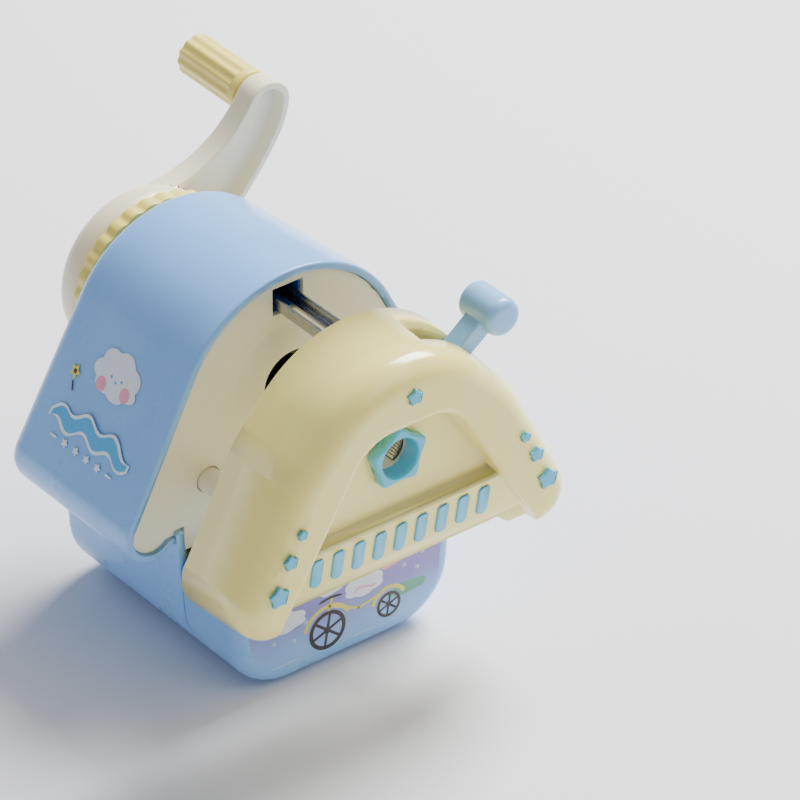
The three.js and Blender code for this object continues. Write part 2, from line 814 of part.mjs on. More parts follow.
/** Cam disc, stem and knob in one piece, swinging about the pencil axis. */
function makeLever() {
  const disc = cylinder(camRadius, camFront, camBack, { segments: 40 });
  const slot = camSlot();
  const slots = jawAngles.map((angle) => turnedTo(slot, angle));
  const stem = block(
    [guideRadius + runningGap, leverFront, -leverThickness / 2],
    [knobRing, leverFront + leverWidth, leverThickness / 2],
  );
  const middle = leverFront + leverWidth / 2;
  const end = knobLength / 2;
  const knob = turned([
    [0, -end],
    [knobRadius - 1.4, -end],
    [knobRadius - 0.4, -end + 0.4],
    [knobRadius, -end + 1.4],
    [knobRadius, end - 1.4],
    [knobRadius - 0.4, end - 0.4],
    [knobRadius - 1.4, end],
    [0, end],
  ], 24).translate([knobRing, middle, 0]);
  const lugPlace = polar(springLug);
  const lug = cylinder(1.8, camFront, camBack, { ...lugPlace, segments: 16 });
  const webRoot = polar({ ring: camRadius - 2, angle: springLug.angle });
  const web = wasm.Manifold.hull([
    lug,
    cylinder(1.2, camFront, camBack, { ...webRoot, segments: 12 }),
  ]);
  const lugHole = cylinder(0.8, camFront - 1, camBack + 1, { ...lugPlace, segments: 12 });
  const handle = turnedTo(joined(stem, knob), leverAngle);
  return cut(joined(disc, handle, web), cylinder(camBore, camFront - 1, camBack + 1), lugHole, ...slots);
}

/** Extension spring that pulls the lever back, from the cam disc's lug to the shell's anchor. */
function makeLeverSpring() {
  const from = polar(springLug);
  const to = polar(springAnchor);
  const span = Math.hypot(to.x - from.x, to.z - from.z);
  const hook = 2.4;
  const coil = coilSpring(1.3, 0.3, span - 2 * hook, 8).translate([0, hook, 0]);
  const slant = Math.atan2(to.z - from.z, to.x - from.x);
  return coil
    .rotate([0, 0, -90])
    .rotate([0, (-slant * 180) / Math.PI, 0])
    .translate([from.x, (camFront + camBack) / 2 - 0.7, from.z]);
}

/** Cover plate inside the carriage: carries the rods, the rail and the cam disc's pivot tube. */
function makeBackPlate() {
  const sheet = prism(carriageOutline(-carriageWall - seamGap), backPlateFront, backPlateBack);
  const pivot = cylinder(camBore - runningGap, camFront + 0.2, backPlateFront + 0.1);
  const bore = cylinder(clampHoleRadius + 0.35, camFront - 1, backPlateBack + 1);
  const rodHole = (side) => cylinder(rodRadius + pinGap / 2, backPlateFront - 1, backPlateBack + 1, {
    x: side * rodReach,
    z: -rodDrop,
    segments: 24,
  });
  const screwHole = (side) => cylinder(postScrewShank + pinGap, backPlateFront - 1, backPlateBack + 1, {
    x: side * postReach,
    z: -postDrop,
    segments: 14,
  });
  const railHole = block(
    [-railWidth / 2 - pinGap, backPlateFront - 1, railRise - pinGap],
    [railWidth / 2 + pinGap, backPlateBack + 1, railRise + railHeight + pinGap],
  );
  const anchor = polar(springAnchor);
  const anchorPost = cylinder(1.4, camFront, backPlateFront + 0.1, { ...anchor, segments: 12 });
  const solid = joined(sheet, pivot, anchorPost);
  return cut(solid, bore, railHole, rodHole(-1), rodHole(1), screwHole(-1), screwHole(1));
}

const slideTail = hoodInnerRear - carriageTravel - 1; // furthest back that rods and rail reach at rest
const rodScrewHead = { radius: 3.9, height: 1.4 };
const rodEnd = slideTail - rodScrewHead.height;

/** Guide rod with a head in front of the back plate and a tapped tail. */
function makeRod(side) {
  const headRadius = rodRadius + 1;
  const headFront = backPlateFront - seamGap - 1.5;
  const headBack = backPlateFront - seamGap;
  const pilotDepth = 7;
  const solid = turned([
    [0, headFront],
    [headRadius, headFront],
    [headRadius, headBack],
    [rodRadius, headBack],
    [rodRadius, rodEnd - pinGap],
    [1.2, rodEnd - pinGap],
    [1.2, rodEnd - pilotDepth],
    [0, rodEnd - pilotDepth],
  ], 24);
  return solid.translate([side * rodReach, 0, -rodDrop]);
}

/** Pressed U-channel, open on top, with a long slot in its floor and a foot behind the back plate. */
function makeRail() {
  const front = backPlateFront - 2;
  const half = railWidth / 2;
  const channel = block([-half, front, railRise], [half, slideTail, railRise + railHeight]);
  const trough = block(
    [-half + railWall, front - 1, railRise + railWall],
    [half - railWall, slideTail + 1, railRise + railHeight + 1],
  );
  const slotHalf = 0.9;
  const slot = block(
    [-slotHalf, carriageRear + 2, railRise - 1],
    [slotHalf, slideTail - 3, railRise + railWall + 1],
  );
  return cut(channel, trough, slot);
}

// ---------------------------------------------------------------- crank, cutter and dial

const bushBack = bodyRear + 1.3;
const dialFront = bushBack + runningGap + 0.1;
const dialBack = dialFront + dialThickness;
const hubFront = dialBack + runningGap;
const hubBack = hubFront + hubDepth;
const armBack = hubBack + armProud;
const armFront = armBack - armThickness;
const gripFront = armBack + runningGap;
const gripBack = gripFront + gripLength;
const drumFront = gearBack + runningGap;
const drumBack = hoodInnerRear - 1.5 - 0.6 - 1.8;
const cutterEnd = drumBack - 3.1;
const gearPlane = gearFront + gearFlange + 3.6;
const gearOffset = ringPitchRadius - pinionPitchRadius;
const tipPlane = cutterEnd - 1.1;
const cutterTilt = Math.atan2(gearOffset - cutterTipOffset, tipPlane - gearPlane);
const cutterFrontY = drumFront + 1.4 + runningGap;
const neckRadius = 2.3; // between the pinion and the cutter
const pinionWidth = 2.4;

/** Outline of the arm: hub end, concave upper edge, round tip and full lower edge. */
function armOutline(inset) {
  const hub = hubRadius - 3.5 - inset;
  const tip = armEndRadius - inset;
  const shape = new THREE.Shape();
  const at = (radius, degrees, x = 0, z = 0) => [
    x + radius * Math.cos(radians(degrees)),
    z + radius * Math.sin(radians(degrees)),
  ];
  const upper = at(hub, 92);
  const tipLeft = at(tip, 150, crankX, crankZ);
  const tipRight = at(tip, -12, crankX, crankZ);
  const lower = at(hub, -28);
  shape.moveTo(...upper);
  shape.bezierCurveTo(
    upper[0] + 12, upper[1] - inset * 0.3,
    tipLeft[0] - 6, tipLeft[1] - 10,
    ...tipLeft,
  );
  shape.absarc(crankX, crankZ, tip, radians(150), radians(-12), true);
  shape.bezierCurveTo(
    tipRight[0] - 1, tipRight[1] - 10,
    lower[0] + 6, lower[1] + 8,
    ...lower,
  );
  shape.absarc(0, 0, hub, radians(-28), radians(92 - 360), true);
  const points = shape.getPoints(6);
  points.pop();
  return points.reverse();
}

/** Hub dish and curved arm, hollowed on the side that faces the hood. */
function makeCrankArm() {
  const dish = turned([
    [0, hubFront],
    [hubRadius - 0.8, hubFront],
    [hubRadius, hubFront + 1.2],
    [hubRadius - 0.6, hubBack - 5],
    [hubRadius - 2.2, hubBack - 1.6],
    [hubRadius - 5, hubBack],
    [0, hubBack],
  ], 32);
  const bowl = turned([
    [0, hubFront - 1],
    [hubRadius - 2.4, hubFront - 1],
    [hubRadius - 2.8, hubBack - 5.5],
    [hubRadius - 5, hubBack - 3],
    [0, hubBack - 3],
  ], 32);
  const bossRadiusHub = 7;
  const boss = cylinder(bossRadiusHub, hubFront, hubBack - 1, { segments: 28 });
  const arm = prism(armOutline(0), armFront, armBack, { roundBack: 1.4 });
  const armHollow = cut(
    prism(armOutline(armRim), armFront - 1, armFront + armRecess),
    cylinder(hubRadius - 1.5, armFront - 2, armBack),
  );
  const socket = joined(
    block([-hubSquare / 2, hubFront - 1, -hubSquare / 2], [hubSquare / 2, hubBack - 3.5, hubSquare / 2]),
    cylinder(shaftRadius + pinGap, hubFront - 1, hubFront + shaftShoulder + pinGap),
  );
  const screwHole = cylinder(1.8, hubFront, armBack + 1, { segments: 16 });
  const headHole = cylinder(crankScrewHead.radius + pinGap, armBack - crankScrewHead.height, armBack + 1);
  const pinHole = cylinder(gripPinRadius + pinGap / 2, armBack - 2.2, armBack + 1, { x: crankX, z: crankZ });
  const solid = joined(cut(dish, bowl), boss, cut(arm, bowl));
  return cut(solid, armHollow, socket, screwHole, headHole, pinHole);
}

const crankScrewHead = { radius: 3.2, height: 1.6 };
const shaftShoulder = 1; // round part of the shaft inside the hub
const driveDepth = 1.6; // square of the shaft inside the carrier

/** Shaft with a square at each end and a tapped rear end. */
function makeShaft() {
  const square = hubSquare - 2 * pinGap;
  const round = cylinder(shaftRadius, drumBack + seamGap, hubFront + shaftShoulder, { segments: 28 });
  const driveEnd = block(
    [-square / 2, drumBack - driveDepth, -square / 2],
    [square / 2, drumBack + 1, square / 2],
  );
  const hubEnd = block([-square / 2, hubFront, -square / 2], [square / 2, hubBack - 4, square / 2]);
  const pilot = cylinder(1.3, hubFront - 1, hubBack, { segments: 14 });
  return cut(joined(round, driveEnd, hubEnd), pilot);
}

/** Knurled ring on the shaft that sets how fine the point gets. */
function makeDial() {
  const outline = gearOutline(dialRibs, dialRadius, dialRadius - 0.7, 0.5, 0.7);
  const rim = prism(outline, dialFront, dialBack);
  const relief = cut(
    cylinder(dialRadius - 2.6, dialFront - 1, dialFront + 1.4),
    cylinder(7.5, dialFront - 2, dialBack),
  );
  return cut(rim, relief, cylinder(shaftRadius + pinGap, dialFront - 1, dialBack + 1));
}

/** Ribbed grip with a blind bore. */
function makeGrip() {
  const outline = gearOutline(gripRibs, gripRadius, gripRadius - 0.45, 0.55, 0.8);
  const sleeve = prism(outline, gripFront + 1.2, gripBack);
  const collar = cylinder(gripRadius, gripFront, gripFront + 1.6);
  const bore = cylinder(gripPinRadius + pinGap, gripFront - 1, gripBack - 1.6, { segments: 20 });
  return cut(joined(sleeve, collar), bore).translate([crankX, 0, crankZ]);
}

/** Pin that the grip turns on, pressed into the arm. */
function makeGripPin() {
  return cylinder(gripPinRadius, armBack - 2, gripBack - 1.9, { x: crankX, z: crankZ, segments: 20 });
}

/** Solid drawn about Y at the gear plane, laid along the cutter's tilted axis. */
function onCutterAxis(solid) {
  return solid.rotate([0, 0, (cutterTilt * 180) / Math.PI]).translate([gearOffset, gearPlane, 0]);
}

const cutterLengthFrom = (cutterFrontY - gearPlane) / Math.cos(cutterTilt);
const cutterLengthTo = (cutterEnd - 0.8 - gearPlane) / Math.cos(cutterTilt);
const axleFrom = (gearFront + gearFlange + runningGap + 0.4 - gearPlane) / Math.cos(cutterTilt);
const axleTo = (drumBack - driveDepth - 0.6 - gearPlane) / Math.cos(cutterTilt);

/** Rotating cage: front journal and cheek, drum with the pencil cone, cutter pocket and rear cheek. */
function makeCarrier() {
  const cheekBack = gearFront + gearFlange + runningGap + 1.1;
  const journal = cylinder(journalRadius, gearFront + 0.2, cheekBack, { segments: 32 });
  const toothClear = ringPitchRadius - gearModule * 0.65 - runningGap - 0.3;
  const frontCheek = cylinder(toothClear, gearFront + gearFlange + runningGap, cheekBack, { segments: 32 });
  const spine = cylinder(toothClear, cheekBack - 0.2, drumFront + 1, { segments: 32 });
  const pinionRoom = block([-1.2, cheekBack, -5.4], [20, drumFront + 1.2, 5.4]);
  const drum = cylinder(carrierRadius, drumFront, drumBack - 1.8, { segments: 36 });
  const drive = cylinder(6.2, drumBack - 2, drumBack, { segments: 28 });
  const body = joined(cut(spine, pinionRoom), journal, frontCheek, drum, drive);
  const cone = turned([
    [0, gearFront - 1],
    [clampHoleRadius + 0.15, gearFront - 1],
    [clampHoleRadius + 0.15, drumFront + 1],
    [0.9, tipPlane + 0.6],
    [0, tipPlane + 0.6],
  ], 28);
  const pocketRadius = cutterRadius + 0.5;
  const pocketFront = cutterLengthFrom - runningGap;
  const pocket = onCutterAxis(cylinder(pocketRadius, pocketFront, cutterLengthTo + 0.5));
  const window = onCutterAxis(block(
    [0, pocketFront, -pocketRadius],
    [20, cutterLengthTo + 0.5, pocketRadius],
  ));
  const neckRoom = onCutterAxis(cylinder(neckRadius + runningGap, 0, cutterLengthFrom));
  const chute = block([2, drumFront + 2.5, -20], [20, cutterEnd - 1.5, 0]);
  const lighten = block([-20, drumFront + 3, -20], [-carrierRadius * 0.45, cutterEnd - 2, 20]);
  const axleHole = onCutterAxis(cylinder(axleRadius + pinGap / 2, axleFrom - 0.1, axleTo + 0.1, {
    segments: 16,
  }));
  const socket = block(
    [-hubSquare / 2, drumBack - driveDepth - 0.1, -hubSquare / 2],
    [hubSquare / 2, drumBack + 1, hubSquare / 2],
  );
  return cut(body, cone, pocket, window, neckRoom, chute, lighten, axleHole, socket);
}

/** Helical milling cutter with straight-flanked teeth twisted along its length. */
function makeCutter() {
  const outline = gearOutline(cutterTeeth, cutterRadius, cutterRadius - 0.9, 0.16, 0.7);
  const length = cutterLengthTo - cutterLengthFrom;
  const twistPerLength = radians(3.4);
  const geometry = new THREE.ExtrudeGeometry(new THREE.Shape(outline), {
    depth: length,
    steps: 6,
    bevelEnabled: false,
  });
  const position = geometry.attributes.position;
  const point = new THREE.Vector3();
  const zAxis = new THREE.Vector3(0, 0, 1);
  for (let i = 0; i < position.count; i += 1) {
    point.fromBufferAttribute(position, i);
    point.applyAxisAngle(zAxis, point.z * twistPerLength);
    position.setXYZ(i, point.x, point.y, point.z);
  }
  geometry.rotateX(Math.PI / 2);
  geometry.translate(0, cutterLengthTo, 0);
  const bore = cylinder(axleRadius + pinGap, cutterLengthFrom - 1, cutterLengthTo + 1, { segments: 16 });
  return onCutterAxis(cut(toSolid(geometry), bore));
}

/** Pinion on the front end of the cutter, in mesh with the ring gear. */
function makePinion() {
  const outline = gearOutline(
    pinionTeeth,
    pinionPitchRadius + gearModule * 0.6,
    pinionPitchRadius - gearModule,
    0.2,
    0.52,
  );
  const gear = prism(outline, -pinionWidth / 2, pinionWidth / 2);
  const neck = cylinder(neckRadius, pinionWidth / 2 - 0.1, cutterLengthFrom - 0.15, { segments: 20 });
  const bore = cylinder(axleRadius + pinGap, -pinionWidth, cutterLengthFrom + 1, { segments: 16 });
  return onCutterAxis(cut(joined(gear, neck), bore));
}

// ---------------------------------------------------------------- drawer

const drawerTop = axisHeight - drawerTopDrop;
const drawerBack = bodyFront - seamGap;
const drawerFront = drawerBack - drawerFrontDepth;

/** Hollow drawer front with the base's outline. */
function makeDrawerFront() {
  const outer = prism(baseOutline(0, drawerTop, drawerCorner), drawerFront, drawerBack, {
    roundFront: drawerEdge,
  });
  const hollow = baseOutline(-drawerWall, drawerTop, drawerCorner);
  const inner = prism(hollow, drawerFront + drawerWall, drawerBack + 1, {
    roundFront: drawerEdge - drawerWall,
  });
  return cut(outer, inner);
}

/** Open-topped tray that fills the base. */
function makeDrawerTray() {
  const gap = baseWall + 2 * runningGap;
  const trayTop = drawerTop - runningGap - 0.7;
  const rear = bodyRear - baseWall - 2 * runningGap;
  const outer = prism(baseOutline(-gap), drawerBack + seamGap, rear, {
    roundBack: hoodRearRound - baseWall,
  });
  const inner = prism(baseOutline(-gap - drawerWall), drawerBack + seamGap + drawerWall, rear - drawerWall);
  const above = block([-60, -60, trayTop], [60, 60, axisHeight]);
  const cavityTop = block(
    [-baseHalfWidth + gap + drawerWall + 1.2, drawerBack + seamGap + drawerWall, trayTop - 3],
    [baseHalfWidth - gap - drawerWall - 1.2, rear - drawerWall, axisHeight],
  );
  return cut(outer, inner, above, cavityTop);
}

// ---------------------------------------------------------------- assembly

const sharpener = new THREE.Group();
const aboutPencil = new THREE.Group();
aboutPencil.position.z = axisHeight;
sharpener.add(aboutPencil);

const sides = [[-1, 'left'], [1, 'right']];

place(aboutPencil, 'hood_shell', makeHood(), finishes.blue());
place(aboutPencil, 'front_plate', makeFrontPlate(), finishes.ivory());
place(aboutPencil, 'ring_gear', makeRingGear(), finishes.dark());
place(aboutPencil, 'rear_bush', makeRearBush(), finishes.ivory());
place(sharpener, 'base_tub', makeBase(), finishes.blue());
footPlaces().forEach((spot, i) => {
  place(sharpener, `foot_${i + 1}`, makeFoot(spot), finishes.rubber());
});
sides.forEach(([side, word]) => {
  const solid = screw(caseScrewHead.radius, caseScrewHead.height, caseScrewShank, 7);
  const mesh = place(aboutPencil, `case_screw_${word}`, solid, finishes.steel());
  mesh.position.set(side * caseScrewReach, bodyRear + caseScrewHead.height + 0.05, caseScrewZ);
});

place(aboutPencil, 'carriage_shell', makeCarriageShell(), finishes.cream());
place(aboutPencil, 'carriage_back_plate', makeBackPlate(), finishes.cream());
place(aboutPencil, 'star_boss', makeStarBoss(), finishes.turquoise());
place(aboutPencil, 'stripe_insert', makeStripeInsert(), finishes.turquoise());
starPlaces.forEach((star) => {
  place(aboutPencil, star.name, makeStar(star), finishes.turquoise());
});
place(aboutPencil, 'jaw_guide', makeJawGuide(), finishes.ivory());
jawAngles.forEach((angle, i) => {
  place(aboutPencil, `jaw_${i + 1}`, makeJaw(angle), finishes.steel());
});
place(aboutPencil, 'release_lever', makeLever(), finishes.blue());
place(aboutPencil, 'lever_spring', makeLeverSpring(), finishes.steel());
place(aboutPencil, 'feed_rail', makeRail(), finishes.steel());
sides.forEach(([side, word]) => {
  place(aboutPencil, `guide_rod_${word}`, makeRod(side), finishes.ivory());
  const tail = screw(rodScrewHead.radius, rodScrewHead.height, 1, 7);
  const tailMesh = place(aboutPencil, `rod_screw_${word}`, tail, finishes.steel());
  tailMesh.position.set(side * rodReach, slideTail, -rodDrop);
  const springFront = plateBack + rodSleeveLength + 0.1;
  const spring = coilSpring(rodRadius + 0.8, 0.35, rodEnd - 0.1 - springFront, 6);
  const springMesh = place(aboutPencil, `feed_spring_${word}`, spring, finishes.steel());
  springMesh.position.set(side * rodReach, springFront, -rodDrop);
  const cover = screw(2.1, 1.2, postScrewShank, 7);
  const coverMesh = place(aboutPencil, `back_plate_screw_${word}`, cover, finishes.steel());
  coverMesh.position.set(side * postReach, backPlateBack + 1.25, -postDrop);
});

place(aboutPencil, 'crank_arm', makeCrankArm(), finishes.white());
place(aboutPencil, 'crank_shaft', makeShaft(), finishes.steel());
const crankScrew = screw(crankScrewHead.radius, crankScrewHead.height - 0.1, 1.1, 9);
place(aboutPencil, 'crank_screw', crankScrew, finishes.steel()).position.y = armBack;
place(aboutPencil, 'crank_grip', makeGrip(), finishes.butter());
place(aboutPencil, 'grip_pin', makeGripPin(), finishes.steel());
place(aboutPencil, 'adjuster_dial', makeDial(), finishes.butter());
place(aboutPencil, 'cutter_carrier', makeCarrier(), finishes.dark());
place(aboutPencil, 'helical_cutter', makeCutter(), finishes.hardened());
place(aboutPencil, 'cutter_pinion', makePinion(), finishes.hardened());
const axle = onCutterAxis(cylinder(axleRadius, axleFrom, axleTo, { segments: 16 }));
place(aboutPencil, 'cutter_axle', axle, finishes.steel());

place(sharpener, 'drawer_front', makeDrawerFront(), finishes.blue());
place(sharpener, 'drawer_tray', makeDrawerTray(), finishes.smoke());

export default sharpener;
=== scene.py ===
"""Hand-crank desk pencil sharpener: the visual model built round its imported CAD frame.

Sizes are in millimetres in the frame's axes: +X is right seen from the front, +Y runs back along the
pencil's way in, and +Z is up. Solids are drawn in millimetres and turned to metres when they are finished.
"""

from __future__ import annotations

import logging
import math
from collections.abc import Callable
from dataclasses import dataclass, field
from enum import Enum

import bmesh
import bpy
from mathutils import Matrix, Vector


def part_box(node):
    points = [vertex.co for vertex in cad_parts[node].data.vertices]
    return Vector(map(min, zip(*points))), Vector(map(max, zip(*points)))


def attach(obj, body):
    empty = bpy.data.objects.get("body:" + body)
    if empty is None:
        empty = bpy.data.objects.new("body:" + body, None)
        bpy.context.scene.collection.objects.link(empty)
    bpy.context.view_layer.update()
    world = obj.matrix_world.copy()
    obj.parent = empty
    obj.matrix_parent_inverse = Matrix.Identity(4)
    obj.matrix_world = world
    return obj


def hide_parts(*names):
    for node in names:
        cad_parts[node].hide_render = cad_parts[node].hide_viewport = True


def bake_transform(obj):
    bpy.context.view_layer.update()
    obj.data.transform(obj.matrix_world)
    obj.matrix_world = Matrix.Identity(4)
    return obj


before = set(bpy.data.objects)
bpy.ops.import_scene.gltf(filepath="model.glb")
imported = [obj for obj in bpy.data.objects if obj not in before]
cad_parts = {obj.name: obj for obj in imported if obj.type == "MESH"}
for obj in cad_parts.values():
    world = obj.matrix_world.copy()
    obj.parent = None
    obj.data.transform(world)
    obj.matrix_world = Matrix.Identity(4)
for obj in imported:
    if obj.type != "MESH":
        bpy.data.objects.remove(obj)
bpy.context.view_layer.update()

LOG = logging.getLogger("pencil_sharpener")
MM = 0.001
ARC_ERROR = 0.005  # how far a chord may fall inside its arc
WELD = 0.0005  # points closer than this are one point

Outline = list[tuple[float, float]]
Solid = bmesh.types.BMesh


class Rides(Enum):
    """Bodies of the frame that the pieces move with."""

    HOUSING = "housing"
    CARRIAGE = "carriage"
    LEVER = "lever"
    CRANK = "crank"
    GRIP = "grip"
    DIAL = "dial"
    DRAWER = "drawer"
    JAW_A = "jaw_a"
    JAW_B = "jaw_b"
    JAW_C = "jaw_c"


class Slot(Enum):
    """Material slots of the record."""

    SHELL = "blue_shell"
    LEVER = "blue_lever"
    IVORY = "ivory_plastic"
    DARK = "dark_plastic"
    CREAM = "cream_gloss"
    TURQUOISE = "turquoise_plastic"
    STEEL = "steel"
    WIRE = "spring_wire"
    CUTTER = "cutter_steel"
    WHITE = "white_plastic"
    BUTTER = "butter_plastic"
    SMOKE = "smoke_plastic"
    RUBBER = "foot_rubber"


class Operation(Enum):
    """Ways of working one solid with another."""

    CUT = "DIFFERENCE"
    JOIN = "UNION"
    COMMON = "INTERSECT"


# ---------------------------------------------------------------- outlines in the XZ plane


@dataclass(frozen=True)
class Circle:
    """A circle in the XZ plane."""

    x: float
    z: float
    radius: float

    def mirrored(self) -> Circle:
        """Returns the circle on the other side of the middle."""
        return Circle(-self.x, self.z, self.radius)

    def at(self, angle: float, offset: float = 0.0) -> tuple[float, float]:
        """Returns the point at an angle in radians, offset mm outside the circle."""
        reach = self.radius + offset
        return self.x + reach * math.cos(angle), self.z + reach * math.sin(angle)


def arc(circle: Circle, start: float, end: float, offset: float = 0.0) -> Outline:
    """Draws an arc as fine as ARC_ERROR asks for.

    Args:
        circle: The circle that it lies on.
        start: First angle in radians.
        end: Last angle in radians.
        offset: Distance outside the circle.

    Returns:
        Its points, both ends included.
    """
    step = 2.0 * math.acos(1.0 - ARC_ERROR / max(circle.radius, 0.2))
    count = max(2, math.ceil(abs(end - start) / step))
    return [circle.at(start + (end - start) * i / count, offset) for i in range(count + 1)]


def tangent(a: Circle, b: Circle) -> float:
    """Returns the angle of the outer tangent's contact points, going counter-clockwise from a to b."""
    span = math.hypot(b.x - a.x, b.z - a.z)
    return math.atan2(b.z - a.z, b.x - a.x) - math.acos((a.radius - b.radius) / span)


def belt(circles: list[Circle], offset: float = 0.0, ends: tuple[float, float] | None = None) -> Outline:
    """Draws a belt pulled round circles.

    Args:
        circles: The circles, counter-clockwise.
        offset: Distance outside the circles.
        ends: Angles where the first arc starts and the last one stops, for a belt that is cut.

    Returns:
        The closed outline.
    """
    points: Outline = []
    for i, circle in enumerate(circles):
        start = tangent(circles[i - 1], circle)
        end = tangent(circle, circles[(i + 1) % len(circles)])
        if ends and i == 0:
            start = ends[0]
        if ends and i == len(circles) - 1:
            end = ends[1]
        while end < start:
            end += math.tau
        while end - start > math.tau:
            end -= math.tau
        points += arc(circle, start, end, offset)
    return points


def eased(corners: Outline, reach: float, steps: int = 5, closed: bool = True) -> Outline:
    """Rounds the corners of a polygon.

    Args:
        corners: Its corners.
        reach: How far from each corner the rounding starts.
        steps: Steps of each rounding.
        closed: Whether the last corner joins the first; an open line keeps its two ends.

    Returns:
        The rounded outline.
    """
    points: Outline = []
    count = len(corners)
    for i, corner in enumerate(corners):
        if not closed and i in (0, count - 1):
            points.append(corner)
            continue
        here = Vector(corner)
        before = Vector(corners[i - 1]) - here
        after = Vector(corners[(i + 1) % count]) - here
        start = here + before.normalized() * min(reach, before.length * 0.49)
        end = here + after.normalized() * min(reach, after.length * 0.49)
        for k in range(steps + 1):
            t = k / steps
            points.append(tuple(start * (1 - t) ** 2 + here * 2 * t * (1 - t) + end * t * t))
    return points


def round_outline(x: float, z: float, radius: float) -> Outline:
    """Returns a full circle as an outline."""
    return arc(Circle(x, z, radius), 0.0, math.tau)[:-1]


def star_outline(x: float, z: float, radius: float, waist: float, ease: float) -> Outline:
    """Draws a five-pointed star with rounded points.

    Args:
        x: Its centre.
        z: Its centre.
        radius: Centre to point.
        waist: Centre to inner corner, as a share of the radius.
        ease: Rounding of the corners.

    Returns:
        The outline.
    """
    corners = []
    for i in range(10):
        reach = radius if i % 2 == 0 else radius * waist
        angle = math.pi / 2 + i * math.pi / 5
        corners.append((x + reach * math.cos(angle), z + reach * math.sin(angle)))
    return eased(corners, ease, 4)


def scalloped(teeth: int, radius: float, depth: float, sharpness: float = 1.0, per_tooth: int = 8) -> Outline:
    """Draws a circle with rounded ribs.

    Args:
        teeth: Number of ribs.
        radius: Radius over the ribs.
        depth: Depth of the grooves.
        sharpness: Above 1 narrows the grooves, below 1 widens them.
        per_tooth: Points for each rib.

    Returns:
        The outline.
    """
    count = teeth * per_tooth
    points = []
    for i in range(count):
        angle = math.tau * i / count
        groove = (0.5 - 0.5 * math.cos(angle * teeth)) ** sharpness
        reach = radius - depth * groove
        points.append((reach * math.cos(angle), reach * math.sin(angle)))
    return points


# ---------------------------------------------------------------- solids


def loft(rings: list[tuple[Outline, float]]) -> Solid:
    """Joins outlines, each at its own Y, into a closed solid.

    Args:
        rings: Outlines and their Y, from front to back.

    Returns:
        The closed solid.
    """
    solid = bmesh.new()
    rims = []
    for points, y in rings:
        corners = [solid.verts.new((x, y, z)) for x, z in points]
        rims.append([solid.edges.new(pair) for pair in zip(corners, corners[1:] + corners[:1])])
    for rim, following in zip(rims, rims[1:]):
        bmesh.ops.bridge_loops(solid, edges=rim + following)
    for rim in (rims[0], rims[-1]):
        bmesh.ops.contextual_create(solid, geom=rim)
    bmesh.ops.recalc_face_normals(solid, faces=solid.faces)
    return solid


def prism(
    outline: Outline,
    front: float,
    back: float,
    front_outline: Outline | None = None,
    round_front: float = 0.0,
    round_back: float = 0.0,
    segments: int = 7,
) -> Solid:
    """Pulls an outline along Y.

    Args:
        outline: The outline at the back, and at the front too unless front_outline is given.
        front: Y of its front face.
        back: Y of its back face.
        front_outline: An outline with as many points, for a solid with draft.
        round_front: Rounding of the front rim.
        round_back: Rounding of the back rim.
        segments: Steps of a rounding.

    Returns:
        The closed solid.
    """
    solid = loft([(front_outline or outline, front), (outline, back)])
    for radius, y in ((round_front, front), (round_back, back)):
        if radius > 0.0:
            ease_edges(solid, lambda a, b, y=y: abs(a.y - y) < WELD and abs(b.y - y) < WELD, radius, segments)
    return solid


def ease_edges(
    solid: Solid, chosen: Callable[[Vector, Vector], bool], radius: float, segments: int = 4
) -> Solid:
    """Rounds the edges that a test picks by their two end points, and returns the solid."""
    edges = [e for e in solid.edges if len(e.link_faces) == 2 and chosen(e.verts[0].co, e.verts[1].co)]
    edges = [e for e in edges if e.calc_face_angle(0.0) > 0.3]
    bmesh.ops.bevel(
        solid,
        geom=edges,
        offset=radius,
        offset_type="OFFSET",
        segments=segments,
        profile=0.5,
        affect="EDGES",
        material=-1,
        clamp_overlap=False,
    )
    return solid


def turned(profile: Outline, x: float = 0.0, z: float = 0.0, steps: int = 72) -> Solid:
    """Spins a profile about a line along Y.

    Args:
        profile: Pairs of radius and Y that start and end on the line.
        x: Place of the line.
        z: Place of the line.
        steps: Steps of the full turn.

    Returns:
        The closed solid.
    """
    solid = bmesh.new()
    points = [solid.verts.new((radius, y, 0.0)) for radius, y in profile]
    edges = [solid.edges.new(pair) for pair in zip(points, points[1:])]
    bmesh.ops.spin(
        solid,
        geom=points + edges,
        cent=(0, 0, 0),
        axis=(0, 1, 0),
        angle=math.tau,
        steps=steps,
        use_merge=True,
    )
    bmesh.ops.remove_doubles(solid, verts=solid.verts, dist=WELD)
    bmesh.ops.recalc_face_normals(solid, faces=solid.faces)
    bmesh.ops.translate(solid, verts=solid.verts, vec=(x, 0.0, z))
    return solid


def rod(radius: float, front: float, back: float, x: float = 0.0, z: float = 0.0, steps: int = 64) -> Solid:
    """Returns a plain cylinder along Y, for holes and pins."""
    return turned([(0.0, front), (radius, front), (radius, back), (0.0, back)], x, z, steps)


def block(low: tuple[float, float, float], high: tuple[float, float, float], ease: float = 0.0) -> Solid:
    """Returns a block between two corners, with rounded edges if ease is given."""
    solid = bmesh.new()
    bmesh.ops.create_cube(solid, size=1.0)
    size = Vector(high) - Vector(low)
    bmesh.ops.scale(solid, vec=size, verts=solid.verts)
    bmesh.ops.translate(solid, verts=solid.verts, vec=(Vector(high) + Vector(low)) / 2)
    if ease > 0.0:
        ease_edges(solid, lambda a, b: True, ease, 3)
    return solid


def moved(solid: Solid, vec: tuple[float, float, float]) -> Solid:
    """Moves a solid and returns it."""
    bmesh.ops.translate(solid, verts=solid.verts, vec=vec)
    return solid


